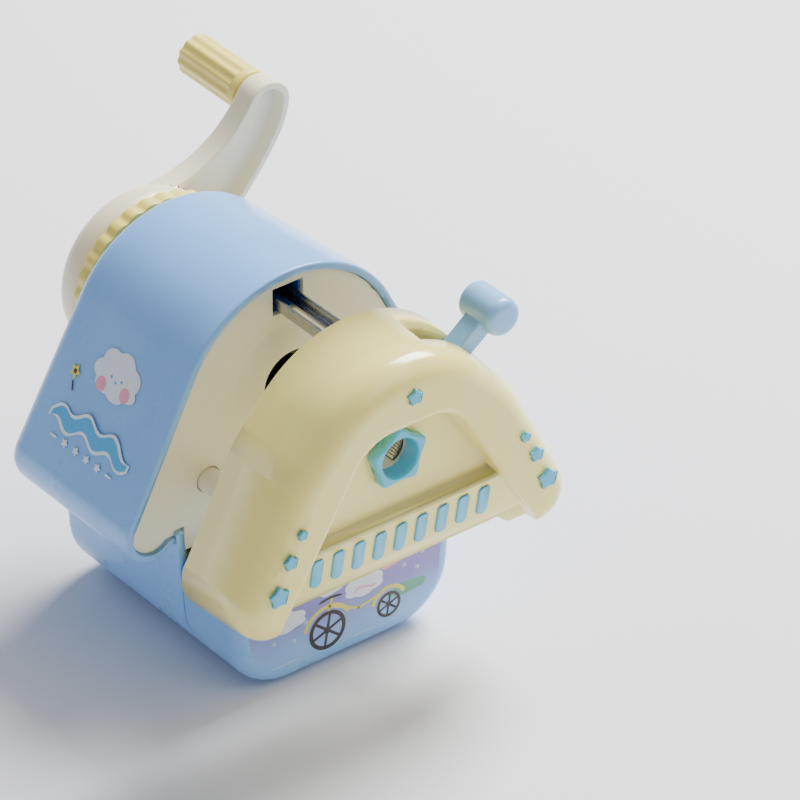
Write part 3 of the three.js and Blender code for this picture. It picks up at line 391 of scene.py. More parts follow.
def turned_to(solid: Solid, degrees: float) -> Solid:
    """Turns a solid about the Y axis, counter-clockwise seen from the front, and returns it."""
    turn = Matrix.Rotation(-math.radians(degrees), 3, "Y")
    bmesh.ops.rotate(solid, cent=(0, 0, 0), matrix=turn, verts=solid.verts)
    return solid


def together(*solids: Solid) -> Solid:
    """Puts separate solids into one bmesh, without joining them."""
    whole = solids[0]
    for other in solids[1:]:
        mesh = bpy.data.meshes.new("scratch")
        other.to_mesh(mesh)
        other.free()
        whole.from_mesh(mesh)
        bpy.data.meshes.remove(mesh)
    return whole


def worked(solid: Solid, operation: Operation, *tools: Solid) -> Solid:
    """Works a solid with others, one after another.

    Args:
        solid: The solid that is worked. It is used up.
        operation: What the tools do to it.
        tools: The other solids. They are used up.

    Returns:
        The new solid.
    """
    for tool in tools:
        blank, cutter = (bpy.data.objects.new(n, bpy.data.meshes.new(n)) for n in ("blank", "cutter"))
        for holder, shape in ((blank, solid), (cutter, tool)):
            shape.to_mesh(holder.data)
            shape.free()
            bpy.context.scene.collection.objects.link(holder)
        modifier = blank.modifiers.new("tool", "BOOLEAN")
        modifier.operation = operation.value
        modifier.solver = "EXACT"
        modifier.object = cutter
        bpy.context.view_layer.update()
        result = bpy.data.meshes.new_from_object(blank.evaluated_get(bpy.context.evaluated_depsgraph_get()))
        solid = bmesh.new()
        solid.from_mesh(result)
        bmesh.ops.remove_doubles(solid, verts=solid.verts, dist=WELD)
        bmesh.ops.dissolve_degenerate(solid, edges=solid.edges, dist=WELD)
        for holder in (blank, cutter):
            mesh = holder.data
            bpy.data.objects.remove(holder)
            bpy.data.meshes.remove(mesh)
        bpy.data.meshes.remove(result)
    return solid


def cut(solid: Solid, *tools: Solid) -> Solid:
    """Cuts tools out of a solid."""
    return worked(solid, Operation.CUT, *tools)


def joined(solid: Solid, *tools: Solid) -> Solid:
    """Joins tools to a solid."""
    return worked(solid, Operation.JOIN, *tools)


def coil(radius: float, wire: float, length: float, turns: float, steps: int = 28) -> Solid:
    """Winds round wire into a spring along Y.

    Args:
        radius: Coil radius to the middle of the wire.
        wire: Wire radius.
        length: Length over the end turns.
        turns: Number of turns.
        steps: Steps of each turn.

    Returns:
        The closed coil, starting at Y 0.
    """
    solid = bmesh.new()
    made = bmesh.ops.create_circle(solid, cap_ends=False, radius=wire, segments=12)
    section = made["verts"]
    bmesh.ops.translate(solid, verts=section, vec=(radius, wire, 0.0))
    edges = [e for e in solid.edges]
    count = round(turns * steps)
    rise = (length - 2 * wire) / count
    bmesh.ops.spin(
        solid,
        geom=section + edges,
        cent=(0, 0, 0),
        axis=(0, 1, 0),
        dvec=(0, rise, 0),
        angle=math.tau * turns,
        steps=count,
    )
    bmesh.ops.holes_fill(solid, edges=solid.edges)
    bmesh.ops.recalc_face_normals(solid, faces=solid.faces)
    return solid


# ---------------------------------------------------------------- finishes


def linear(colour: str) -> tuple[float, float, float, float]:
    """Turns an sRGB hex colour into linear RGBA."""
    channels = [int(colour[i : i + 2], 16) / 255 for i in (1, 3, 5)]
    rgb = [c / 12.92 if c <= 0.04045 else ((c + 0.055) / 1.055) ** 2.4 for c in channels]
    return rgb[0], rgb[1], rgb[2], 1.0


def add_node(
    tree: bpy.types.NodeTree, kind: str, settings: dict | None = None, links: dict | None = None
) -> bpy.types.Node:
    """Adds a node to a material.

    Args:
        tree: The material's node tree.
        kind: The node's type.
        settings: Values by property name, or by input name or number.
        links: Output sockets by the input's name or number.

    Returns:
        The node.
    """
    node = tree.nodes.new(kind)
    for name, value in (settings or {}).items():
        if isinstance(name, str) and hasattr(node, name):
            setattr(node, name, value)
        else:
            node.inputs[name].default_value = value
    for name, source in (links or {}).items():
        tree.links.new(source, node.inputs[name])
    return node


def per_mm(size: float) -> float:
    """Returns the noise scale, in object coordinates, whose grain is that many millimetres."""
    return 1.0 / (size * MM)


class Finish:
    """A material that is made once and shared by the pieces that have it."""

    made: dict[str, bpy.types.Material] = {}

    def material(self) -> bpy.types.Material:
        """Returns the Blender material, making it the first time."""
        name = self.name
        if name not in Finish.made:
            made = bpy.data.materials.new(name)
            made.use_nodes = True
            tree = made.node_tree
            shader = tree.nodes["Principled BSDF"]
            place = add_node(tree, "ShaderNodeTexCoord").outputs["Object"]
            self.dress(tree, shader, place)
            made.diffuse_color = linear(self.colour)
            Finish.made[name] = made
        return Finish.made[name]


@dataclass(frozen=True)
class MouldedAbs(Finish):
    """Injection-moulded ABS or PS: a fine tool texture, faint flow marks and a soft sheen."""

    name: str
    colour: str
    tint: str  # colour that the thicker, more shaded mouldings drift to
    roughness: float = 0.32
    coat: float = 0.0
    drift_mm: float = 22.0  # size of the slow colour drift
    grain_mm: float = 0.7  # tool texture, drawn coarser than the real 0.1 mm so that it shows
    grain_depth: float = 0.05
    glow: float = 0.06  # light that scatters inside the plastic

    def dress(self, tree: bpy.types.NodeTree, shader: bpy.types.Node, place: bpy.types.NodeSocket) -> None:
        """Links the colour drift, the uneven gloss and the tool texture to the shader."""
        drift = add_node(
            tree, "ShaderNodeTexNoise", {"Scale": per_mm(self.drift_mm), "Detail": 3.0}, {"Vector": place}
        )
        ramp = add_node(
            tree, "ShaderNodeMapRange", {"From Min": 0.35, "From Max": 0.7}, {"Value": drift.outputs["Fac"]}
        )
        mix = add_node(
            tree,
            "ShaderNodeMix",
            {"data_type": "RGBA", 6: linear(self.colour), 7: linear(self.tint)},
            {0: ramp.outputs["Result"]},
        )
        handled = add_node(
            tree, "ShaderNodeTexNoise", {"Scale": per_mm(9.0), "Detail": 2.0}, {"Vector": place}
        )
        gloss = add_node(
            tree,
            "ShaderNodeMapRange",
            {
                "From Min": 0.3,
                "From Max": 0.75,
                "To Min": self.roughness - 0.02,
                "To Max": self.roughness + 0.035,
            },
            {"Value": handled.outputs["Fac"]},
        )
        grain = add_node(
            tree, "ShaderNodeTexNoise", {"Scale": per_mm(self.grain_mm), "Detail": 2.0}, {"Vector": place}
        )
        bump = add_node(
            tree,
            "ShaderNodeBump",
            {"Strength": self.grain_depth, "Distance": 0.1 * MM},
            {"Height": grain.outputs["Fac"]},
        )
        tree.links.new(mix.outputs[2], shader.inputs["Base Color"])
        tree.links.new(gloss.outputs["Result"], shader.inputs["Roughness"])
        tree.links.new(bump.outputs["Normal"], shader.inputs["Normal"])
        shader.inputs["IOR"].default_value = 1.53
        shader.inputs["Coat Weight"].default_value = self.coat
        shader.inputs["Coat Roughness"].default_value = 0.08
        shader.inputs["Subsurface Weight"].default_value = self.glow
        shader.inputs["Subsurface Radius"].default_value = (1.0, 0.8, 0.5)
        shader.inputs["Subsurface Scale"].default_value = 1.5 * MM


@dataclass(frozen=True)
class ClearStyrene(Finish):
    """Clear polystyrene with a smoky tint, for the tray: see-through, with a hard gloss."""

    name: str
    colour: str
    roughness: float = 0.12

    def dress(self, tree: bpy.types.NodeTree, shader: bpy.types.Node, place: bpy.types.NodeSocket) -> None:
        """Links the scuffed gloss and sets the see-through body."""
        scuffs = add_node(
            tree,
            "ShaderNodeTexNoise",
            {"Scale": per_mm(2.5), "Detail": 6.0, "Roughness": 0.75},
            {"Vector": place},
        )
        gloss = add_node(
            tree,
            "ShaderNodeMapRange",
            {"From Min": 0.45, "From Max": 0.8, "To Min": self.roughness, "To Max": self.roughness + 0.2},
            {"Value": scuffs.outputs["Fac"]},
        )
        tree.links.new(gloss.outputs["Result"], shader.inputs["Roughness"])
        shader.inputs["Base Color"].default_value = linear(self.colour)
        shader.inputs["IOR"].default_value = 1.59
        shader.inputs["Transmission Weight"].default_value = 0.55


@dataclass(frozen=True)
class WorkedSteel(Finish):
    """Steel with a direction to its surface: drawn, pressed, ground or plated."""

    name: str
    colour: str
    dark: str  # colour in the marks
    roughness: float = 0.3
    stretch: tuple[float, float, float] = (1.0, 0.06, 1.0)  # marks run along the axis with the small number
    mark_mm: float = 0.25
    depth: float = 0.12

    def dress(self, tree: bpy.types.NodeTree, shader: bpy.types.Node, place: bpy.types.NodeSocket) -> None:
        """Links the working marks to colour, gloss and relief."""
        along = add_node(tree, "ShaderNodeMapping", {"Scale": self.stretch}, {"Vector": place})
        marks = add_node(
            tree,
            "ShaderNodeTexNoise",
            {"Scale": per_mm(self.mark_mm), "Detail": 4.0, "Roughness": 0.65},
            {"Vector": along.outputs["Vector"]},
        )
        mix = add_node(
            tree,
            "ShaderNodeMix",
            {"data_type": "RGBA", 6: linear(self.colour), 7: linear(self.dark)},
            {0: marks.outputs["Fac"]},
        )
        gloss = add_node(
            tree,
            "ShaderNodeMapRange",
            {
                "From Min": 0.3,
                "From Max": 0.7,
                "To Min": self.roughness - 0.07,
                "To Max": self.roughness + 0.1,
            },
            {"Value": marks.outputs["Fac"]},
        )
        bump = add_node(
            tree,
            "ShaderNodeBump",
            {"Strength": self.depth, "Distance": 0.05 * MM},
            {"Height": marks.outputs["Fac"]},
        )
        tree.links.new(mix.outputs[2], shader.inputs["Base Color"])
        tree.links.new(gloss.outputs["Result"], shader.inputs["Roughness"])
        tree.links.new(bump.outputs["Normal"], shader.inputs["Normal"])
        shader.inputs["Metallic"].default_value = 1.0


@dataclass(frozen=True)
class MouldedRubber(Finish):
    """Soft black rubber: dull, with a dusty, slightly pitted skin."""

    name: str
    colour: str
    dust: str

    def dress(self, tree: bpy.types.NodeTree, shader: bpy.types.Node, place: bpy.types.NodeSocket) -> None:
        """Links the dust and the pits to the shader."""
        pits = add_node(tree, "ShaderNodeTexNoise", {"Scale": per_mm(0.5), "Detail": 4.0}, {"Vector": place})
        mix = add_node(
            tree,
            "ShaderNodeMix",
            {"data_type": "RGBA", 6: linear(self.colour), 7: linear(self.dust)},
            {0: pits.outputs["Fac"]},
        )
        bump = add_node(
            tree, "ShaderNodeBump", {"Strength": 0.3, "Distance": 0.1 * MM}, {"Height": pits.outputs["Fac"]}
        )
        tree.links.new(mix.outputs[2], shader.inputs["Base Color"])
        tree.links.new(bump.outputs["Normal"], shader.inputs["Normal"])
        shader.inputs["Roughness"].default_value = 0.85


@dataclass(frozen=True)
class PadPrint(Finish):
    """Pad-printed ink: a thin satin film with slightly uneven cover."""

    name: str
    colour: str
    thin: str  # colour where the ink lies thin

    def dress(self, tree: bpy.types.NodeTree, shader: bpy.types.Node, place: bpy.types.NodeSocket) -> None:
        """Links the uneven cover to the colour and the relief."""
        cover = add_node(
            tree,
            "ShaderNodeTexNoise",
            {"Scale": per_mm(1.2), "Detail": 5.0, "Roughness": 0.7},
            {"Vector": place},
        )
        share = add_node(
            tree, "ShaderNodeMapRange", {"From Min": 0.4, "From Max": 0.8}, {"Value": cover.outputs["Fac"]}
        )
        mix = add_node(
            tree,
            "ShaderNodeMix",
            {"data_type": "RGBA", 6: linear(self.colour), 7: linear(self.thin)},
            {0: share.outputs["Result"]},
        )
        tree.links.new(mix.outputs[2], shader.inputs["Base Color"])
        shader.inputs["Roughness"].default_value = 0.38
        shader.inputs["IOR"].default_value = 1.5


@dataclass(frozen=True)
class ShadedPrint(Finish):
    """Printed film that fades from one ink to another as it goes down."""

    name: str
    colour: str  # ink at the top
    low: str  # ink at the bottom
    top_z: float
    bottom_z: float

    def dress(self, tree: bpy.types.NodeTree, shader: bpy.types.Node, place: bpy.types.NodeSocket) -> None:
        """Links the fade, broken up by a soft cloudiness, to the colour."""
        parts = add_node(tree, "ShaderNodeSeparateXYZ", None, {"Vector": place})
        soft = add_node(tree, "ShaderNodeTexNoise", {"Scale": per_mm(9.0), "Detail": 2.0}, {"Vector": place})
        wander = add_node(
            tree,
            "ShaderNodeMath",
            {"operation": "MULTIPLY_ADD", 1: 7.0 * MM},
            {0: soft.outputs["Fac"], 2: parts.outputs["Z"]},
        )
        fade = add_node(
            tree,
            "ShaderNodeMapRange",
            {
                "interpolation_type": "SMOOTHSTEP",
                "From Min": (self.bottom_z + 3.5) * MM,
                "From Max": (self.top_z + 3.5) * MM,
            },
            {"Value": wander.outputs["Value"]},
        )
        mix = add_node(
            tree,
            "ShaderNodeMix",
            {"data_type": "RGBA", 6: linear(self.low), 7: linear(self.colour)},
            {0: fade.outputs["Result"]},
        )
        tree.links.new(mix.outputs[2], shader.inputs["Base Color"])
        shader.inputs["Roughness"].default_value = 0.34


@dataclass(frozen=True)
class PaperSweep(Finish):
    """Matt paper board for the floor: even and pale, so that the object stands out."""

    name: str
    colour: str

    def dress(self, tree: bpy.types.NodeTree, shader: bpy.types.Node, place: bpy.types.NodeSocket) -> None:
        """Links a barely visible tooth to the shader."""
        tooth = add_node(tree, "ShaderNodeTexNoise", {"Scale": per_mm(3.0), "Detail": 3.0}, {"Vector": place})
        bump = add_node(
            tree, "ShaderNodeBump", {"Strength": 0.03, "Distance": 0.1 * MM}, {"Height": tooth.outputs["Fac"]}
        )
        tree.links.new(bump.outputs["Normal"], shader.inputs["Normal"])
        shader.inputs["Base Color"].default_value = linear(self.colour)
        shader.inputs["Roughness"].default_value = 0.7


# Moulded ABS shells: sky blue with a soft sheen and a very slow drift of the colour.
SHELL_BLUE = MouldedAbs("abs_sky_blue", "#86BDFA", "#7DB4F5", roughness=0.28, coat=0.15, glow=0.0)
# Moulded ABS liner of the rail, painted shade: a saturated deep blue that stands in for the shaded inside of
# the hood and reads dark inside its slot.
PAINTED_SHADE_BLUE = MouldedAbs("abs_blue_painted_shade", "#1560C0", "#1458B2", roughness=0.35, glow=0.0)
# Moulded ABS lever: a paler, slightly glossier blue than the shells.
LEVER_BLUE = MouldedAbs("abs_pale_blue", "#92C8F4", "#8AC0F0", roughness=0.26, coat=0.15)
# Moulded ABS fascia: matt off-white that sets off the glossy carriage.
IVORY = MouldedAbs("abs_ivory", "#EFEBDA", "#E9E4CF", roughness=0.36)
# Polished ABS carriage: warm cream with long clear highlights on its rounded rim.
CREAM = MouldedAbs("abs_cream_polished", "#FFF08E", "#FDEA84", roughness=0.22, coat=0.35, glow=0.1)
# Moulded ABS trim: clear turquoise accents with a soft sheen.
TURQUOISE = MouldedAbs("abs_turquoise", "#52BDE0", "#4BB5D9", roughness=0.33)
# Moulded ABS crank and rods: warm white with a little light inside the plastic.
WHITE = MouldedAbs("abs_warm_white", "#FBF1D2", "#F6EAC6", roughness=0.33, glow=0.12)
# Moulded ABS grip and ring: buttery yellow, a little duller than the carriage.
BUTTER = MouldedAbs("abs_butter", "#F6E37A", "#F1DB6C", roughness=0.4, glow=0.1)
# Moulded acetal: dark, dry-looking and nearly matt.
CHARCOAL = MouldedAbs("acetal_charcoal", "#2B2F36", "#24282E", roughness=0.5, glow=0.0)
# Moulded clear styrene: a faintly grey, see-through tray.
SMOKE = ClearStyrene("styrene_smoke", "#D5DDE2")
# Rolled steel strip: bright, with fine marks along its length.
PRESSED_STEEL = WorkedSteel("pressed_steel_strip", "#C9CACC", "#8F9296", roughness=0.24)
# Zinc-plated steel: pale, slightly cloudy metal on screws and jaws.
PLATED_STEEL = WorkedSteel(
    "zinc_plated_steel", "#C4C7CA", "#A3A7AB", roughness=0.3, stretch=(1.0, 1.0, 1.0), mark_mm=0.6
)
# Drawn spring wire: dark bright metal with marks along the wire.
SPRING_WIRE = WorkedSteel("drawn_spring_wire", "#A9ACB0", "#7E8286", roughness=0.28, mark_mm=0.15)
# Ground tool steel: darker metal with grinding marks, on the cutter.
GROUND_STEEL = WorkedSteel("ground_tool_steel", "#8A8E93", "#5E6267", roughness=0.33, stretch=(0.2, 1.0, 1.0))
# Moulded rubber: nearly black and matt, with a dusty bloom.
RUBBER = MouldedRubber("foot_rubber", "#2B2D2F", "#45474A")
# Pad-printed inks: flat, slightly uneven films that catch less light than the plastic.
INK_WHITE = PadPrint("ink_white", "#E6EFFA", "#D8E6F8")
INK_TURQUOISE = PadPrint("ink_turquoise", "#3FA9E6", "#55B4EA")
INK_PINK = PadPrint("ink_pink", "#EE9AB4", "#F2AEC3")
INK_YELLOW = PadPrint("ink_yellow", "#E2D45C", "#E8DC74")
INK_BROWN = PadPrint("ink_brown", "#2E2226", "#43353A")
INK_GREEN = PadPrint("ink_green", "#57A68C", "#69B198")
INK_SKY = PadPrint("ink_sky", "#B9CFEE", "#C6D8F1")
# Pad-printed fade: lavender that thins out to the blue of the drawer.
LAVENDER_FADE = ShadedPrint("ink_lavender_fade", "#8E86D0", "#8FC2FA", 15.0, 4.0)


@dataclass(frozen=True)
class CarriedNodes:
    """CAD nodes that stay as they are and only take a finish."""

    finishes: dict[str, Finish] = field(
        default_factory=lambda: {
            "ring_gear": CHARCOAL,
            "rear_bush": IVORY,
            "cutter_carrier": CHARCOAL,
            "crank_shaft": PLATED_STEEL,
            "cutter_axle": PLATED_STEEL,
            "helical_cutter": GROUND_STEEL,
            "cutter_pinion": GROUND_STEEL,
        }
    )

    def dress(self) -> None:
        """Gives each node its material."""
        for name, finish in self.finishes.items():
            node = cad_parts[name]
            node.data.materials.clear()
            node.data.materials.append(finish.material())
            LOG.info("%s keeps its CAD shape", name)


# ---------------------------------------------------------------- finishing a piece


def piece(
    name: str,
    solid: Solid,
    finish: Finish,
    rides: Rides,
    replaces: tuple[str, ...] = (),
    lift: float = 0.0,
    edge: float = 0.15,
) -> bpy.types.Object:
    """Turns a solid into a finished piece.

    Args:
        name: The piece's name.
        solid: The solid in millimetres. It is used up.
        finish: Its material.
        rides: The body that it moves with.
        replaces: CAD nodes that it stands for.
        lift: How far the solid is raised first, for one drawn about the pencil axis.
        edge: Width of the softened edges.

    Returns:
        The object.
    """
    made = shaped(name, solid, finish, lift, edge)
    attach(made, rides.value)
    if replaces:
        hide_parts(*replaces)
    LOG.info("%s rides on %s, %d faces", name, rides.value, len(made.data.polygons))
    return made


def shaped(name: str, solid: Solid, finish: Finish, lift: float, edge: float) -> bpy.types.Object:
    """Turns a solid into an object with its material, soft edges and clean shading."""
    bmesh.ops.translate(solid, verts=solid.verts, vec=(0.0, 0.0, lift))
    bmesh.ops.scale(solid, vec=(MM, MM, MM), verts=solid.verts)
    for face in solid.faces:
        face.smooth = True
    mesh = bpy.data.meshes.new(name)
    solid.to_mesh(mesh)
    solid.free()
    mesh.materials.append(finish.material())
    made = bpy.data.objects.new(name, mesh)
    bpy.context.scene.collection.objects.link(made)
    if edge > 0.0:
        soften = made.modifiers.new("soft edges", "BEVEL")
        soften.width = edge * MM
        soften.segments = 2
        soften.limit_method = "ANGLE"
        soften.angle_limit = math.radians(38)
        soften.use_clamp_overlap = False
        soften.miter_outer = "MITER_ARC"
    flat = made.modifiers.new("flat faces", "WEIGHTED_NORMAL")
    flat.keep_sharp = False
    flat.weight = 60
    return made


AXIS = (sum(corner.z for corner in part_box("adjuster_dial")) / 2) / MM


def span_y(node: str) -> tuple[float, float]:
    """Returns the lowest and highest Y of a CAD node, in millimetres."""
    low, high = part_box(node)
    return low.y / MM, high.y / MM


# ---------------------------------------------------------------- screws


@dataclass(frozen=True)
class PanScrew:
    """A pan-head screw along Y with a cross recess in its head."""

    head: float
    height: float
    shank: float
    length: float

    def solid(self, x: float, face: float, z: float) -> Solid:
        """Returns the screw with the outside of its head at Y face."""
        crown = [
            (self.head, -self.height * 0.45),
            (self.head * 0.85, -self.height * 0.16),
            (self.head * 0.5, 0.0),
        ]
        thread = []
        pitch = 0.7
        count = int((self.length - self.height - 1.2) / pitch)
        for i in range(count):
            y = -self.length + 1.0 + i * pitch
            thread += [(self.shank * 0.8, y), (self.shank, y + pitch / 2)]
        profile = [(0.0, -self.length), *thread, (self.shank * 0.8, -self.height), (self.head, -self.height)]
        body = turned([*profile, *crown, (0.0, 0.0)], steps=48)
        half, reach, depth = self.head * 0.13, self.head * 0.55, self.height * 0.6
        across = block((-reach, -depth, -half), (reach, 1.0, half))
        upright = block((-half, -depth, -reach), (half, 1.0, reach))
        return moved(cut(body, across, upright), (x, face, z))


# ---------------------------------------------------------------- housing


@dataclass
class Housing:
    """Hood, front plate, base, feet and the springs that feed the carriage."""

    crown: Circle = Circle(0.0, -2.1, 26.9)
    cheek: Circle = Circle(33.2, -22.0, 6.3)
    wall: float = 1.5
    pinch: float = 2.4  # how much lower the crown is at the rear
    rear_round: float = 4.0
    base_round: float = 3.0
    base_half: float = 27.8
    base_flare: float = 1.4
    base_corner: float = 13.0
    base_wall: float = 1.8
    base_rise: float = 2.0
    seam: float = 0.3
    plate_recess: float = 0.8
    plate_thickness: float = 1.8
    tongue_drop: float = 29.6
    pencil_hole: float = 6.4
    boss_foot: float = 13.5
    boss_height: float = 1.6
    rod_reach: float = 19.4
    rod_drop: float = 15.5
    rod_hole: float = 2.75
    sleeve_radius: float = 4.2
    sleeve_end: float = -9.0
    slot_half: float = 3.6
    slot_low: float = 15.4
    slot_high: float = 21.4
    screw_reach: float = 9.0
    foot_radius: float = 3.5

    def __post_init__(self) -> None:
        """Works out the planes and the lip from the frame."""
        self.front, self.rear = span_y("hood_shell")
        self.inner_rear = self.rear - self.wall
        self.plate_front = self.front + self.plate_recess
        self.plate_back = self.plate_front + self.plate_thickness
        lip_x = self.base_half + self.seam + 0.5
        self.lip_angle = math.acos((lip_x - self.cheek.x) / self.cheek.radius)
        self.lip_z = self.cheek.z - self.cheek.radius * math.sin(self.lip_angle)
        self.screw_z = self.lip_z + 3.8

    def hood_outline(self, offset: float, pinch: float = 0.0) -> Outline:
        """Draws the hood's outline about the pencil axis.

        Args:
            offset: Distance outside the hood's own outline.
            pinch: How far the crown is drawn in; the lips stay where they are.

        Returns:
            The closed outline.
        """
        circles = [self.cheek, self.crown, self.cheek.mirrored()]
        points = []
        for x, z in belt(circles, offset, (-self.lip_angle, math.pi + self.lip_angle)):
            share = self.crown_share(z)
            away = Vector((x, z - self.crown.z))
            near = away - away.normalized() * pinch * share**0.7
            points.append((near.x, near.y + self.crown.z))
        return points

    def crown_share(self, z: float) -> float:
        """Returns how much of the pinch reaches a height: 0 at the cheeks, 1 at the top."""
        return max(0.0, (z - self.cheek.z) / (self.crown.z + self.crown.radius - self.cheek.z))

    def base_half_at(self, z: float) -> float:
        """Returns the half width of the base at a height above its underside."""
        lip = AXIS + self.lip_z
        return self.base_half - self.base_flare * (lip - z) / (lip - self.base_corner)

    def base_outline(self, offset: float, top: float, top_round: float) -> Outline:
        """Returns the outline of the base, or of a drawer part when top is lower."""
        low_x = self.base_half_at(self.base_corner) - self.base_corner
        low = Circle(low_x, self.base_corner, self.base_corner)
        high = Circle(self.base_half_at(top - top_round) - top_round, top - top_round, top_round)
        return belt([low, high, high.mirrored(), low.mirrored()], offset)

    def hood_block(
        self, offset: float, front: float, back: float, radius: float, sole: Outline, rim: float = 0.0
    ) -> Solid:
        """Lofts the hood's outline back to a rounded rear edge.

        Args:
            offset: Distance outside the hood's own outline.
            front: Y of its front face.
            back: Y of its back face.
            radius: Rounding of the rear edge.
            sole: Left and right points that close the outline below, or none.
            rim: Rounding of the front edge.

        Returns:
            The closed solid.
        """
        rings = []
        if rim > 0.0:
            for turn in (0.0, math.pi / 6, math.pi / 3):
                outline = self.hood_outline(offset - rim * (1 - math.sin(turn)))
                rings.append((outline, front + rim * (1 - math.cos(turn))))
        rings.append((self.hood_outline(offset), front + rim))
        steps = 9
        for i in range(steps + 1):
            turn = math.pi / 2 * i / steps
            outline = self.hood_outline(offset - radius * (1 - math.cos(turn)), self.pinch)
            rings.append((outline, back - radius * (1 - math.sin(turn))))
        return loft([([*sole[1:], *outline, *sole[:1]], y) for outline, y in rings])

    def hood(self) -> None:
        """Makes the arched casing with rolled lips."""
        lip_x = self.cheek.x + self.cheek.radius * math.cos(self.lip_angle)
        low = self.lip_z - 0.6
        corners = [(-lip_x, low), (lip_x, low)]
        outer = self.hood_block(0.0, self.front, self.rear, self.rear_round, corners, 0.5)
        foot = lip_x + 0.02
        sole = block((-foot, self.front - 1, low - 1), (foot, self.rear + 1, self.lip_z))
        inner = self.hood_block(-self.wall, self.front - 1, self.inner_rear, self.rear_round - self.wall, [])
        gap = self.base_half + self.seam
        below = block(
            (-gap, self.front - 1, self.lip_z - 1), (gap, self.inner_rear, self.lip_z + 2 * self.wall)
        )
        holes = [rod(6.4, self.inner_rear - 1, self.rear + 1)]
        for side in (-1, 1):
            holes.append(
                rod(1.5, self.inner_rear - 1, self.rear + 1, side * self.screw_reach, self.screw_z, 32)
            )
        solid = cut(outer, sole, inner, below, together(*holes))
        piece("hood", solid, SHELL_BLUE, Rides.HOUSING, ("hood_shell",), AXIS, 0.0)

    def plate(self) -> None:
        """Makes the fascia with its soft boss, rail slot, rod sleeves and snap notches."""
        clear = self.wall + self.seam
        sheet = prism(self.hood_outline(-clear), self.plate_front, self.plate_back)
        half = self.base_half - self.base_wall - 2 * self.seam
        tongue = block(
            (-half, self.plate_front, -self.tongue_drop),
            (half, self.plate_back, self.lip_z + self.base_rise + 2),
        )
        steps = 12
        swell = []
        for i in range(steps + 1):
            share = i / steps
            radius = self.boss_foot + (self.pencil_hole + 0.9 - self.boss_foot) * share
            rise = self.boss_height * (0.5 - 0.5 * math.cos(math.pi * share))
            swell.append((radius, self.plate_front + 0.03 - rise))
        throat = [(self.pencil_hole, swell[-1][1] + 0.7), (self.pencil_hole, self.plate_front + 1)]
        under = self.plate_front + 1
        boss = turned([(0.0, under), (self.boss_foot, under), *swell, (0.0, swell[-1][1])])
        lead = (self.pencil_hole + 1.6, swell[-1][1] - 1)
        well = turned(
            [
                (0.0, swell[-1][1] - 1),
                lead,
                *eased([lead, throat[0], throat[1]], 1.2, 6, False)[1:],
                (self.pencil_hole, self.plate_back + 1),
                (0.0, self.plate_back + 1),
            ]
        )
        places = [(side * self.rod_reach, -self.rod_drop) for side in (-1, 1)]
        sleeves = [rod(self.sleeve_radius, self.plate_back - 0.1, self.sleeve_end, *at) for at in places]
        bores = [rod(self.rod_hole, self.plate_front - 1, self.sleeve_end + 1, *at) for at in places]
        slot = block(
            (-self.slot_half, self.plate_front - 1, self.slot_low),
            (self.slot_half, self.plate_back + 1, self.slot_high),
        )
        lip_low = self.cheek.z - self.cheek.radius
        top = self.lip_z + self.base_rise + self.seam
        corners = [
            block((low, self.plate_front - 1, lip_low), (low + 2.4, self.plate_back + 1, top))
            for low in (-half - 2.4, half)
        ]
        left = tangent(self.crown, self.cheek.mirrored())
        snap_at = self.crown.at(left, -clear)
        down = Vector((math.sin(left), -math.cos(left)))
        notches = []
        for side in (-1, 1):
            start = Vector((-snap_at[0] * side, snap_at[1])) + Vector((down.x * -side, down.y)) * 3.0
            centre = start + Vector((down.x * -side, down.y)) * 4.5
            notch = block((-0.5, self.plate_front - 1, -4.5), (0.5, self.plate_front + 0.7, 4.5))
            turn = math.degrees(math.atan2(down.x * -side, -down.y))
            notches.append(moved(turned_to(notch, turn), (centre.x, 0.0, centre.y)))
        solid = joined(sheet, tongue, boss, *sleeves)
        solid = cut(solid, well, slot, together(*bores), together(*corners), together(*notches))
        piece("front_fascia", solid, IVORY, Rides.HOUSING, ("front_plate",), AXIS, 0.15)
        self.rail_shade_sleeve()

    def rail_shade_sleeve(self) -> None:
        """Makes the deep blue sleeve that the rail slides in, behind the slot; its deep blue is painted shade
        for the shaded inside of the hood.
        """
        low = self.slot_low + 0.25
        outside = block(
            (-self.slot_half + 0.02, self.plate_front + 0.9, low),
            (self.slot_half - 0.02, -6.0, self.slot_high - 0.02),
        )
        inside = block(
            (-self.slot_half + 0.4, self.plate_front - 1, low + 0.25),
            (self.slot_half - 0.5, -5.0, self.slot_high - 0.5),
        )
        piece("rail_shade_sleeve", cut(outside, inside), PAINTED_SHADE_BLUE, Rides.HOUSING, (), AXIS, 0.05)

    def base(self) -> None:
        """Makes the lower housing, open at the front and on top."""
        lip = AXIS + self.lip_z
        top = lip + self.base_rise
        tall = top + self.base_corner
        outer = prism(
            self.base_outline(0.0, tall, self.base_corner),
            self.front,
            self.rear,
            round_front=0.3,
            round_back=self.base_round,
        )
        inner = prism(
            self.base_outline(-self.base_wall, tall, self.base_corner),
            self.front - 1,
            self.rear - self.base_wall,
            round_back=self.base_round - self.base_wall,
        )
        wide = 2 * self.base_half
        above = block((-wide, self.front - 2, top), (wide, self.rear + 1, tall + 5))
        relief = block((-wide, self.inner_rear - self.seam, lip - self.seam), (wide, self.rear + 1, tall + 5))
        tub = cut(outer, inner, above, relief)
        tab_front = self.inner_rear - self.seam - 2
        tabs, pilots = [], []
        for side in (-1, 1):
            x = side * self.screw_reach
            tabs.append(
                block(
                    (x - 3.2, tab_front, lip - 4.2),
                    (x + 3.2, self.inner_rear - self.seam, AXIS + self.screw_z + 3.2),
                )
            )
            pilots.append(rod(1.4, tab_front - 1, self.rear - 0.1, x, AXIS + self.screw_z, 32))
        tub = cut(joined(tub, *tabs), together(*pilots))
        piece("base", tub, SHELL_BLUE, Rides.HOUSING, ("base_tub",), 0.0, 0.0)

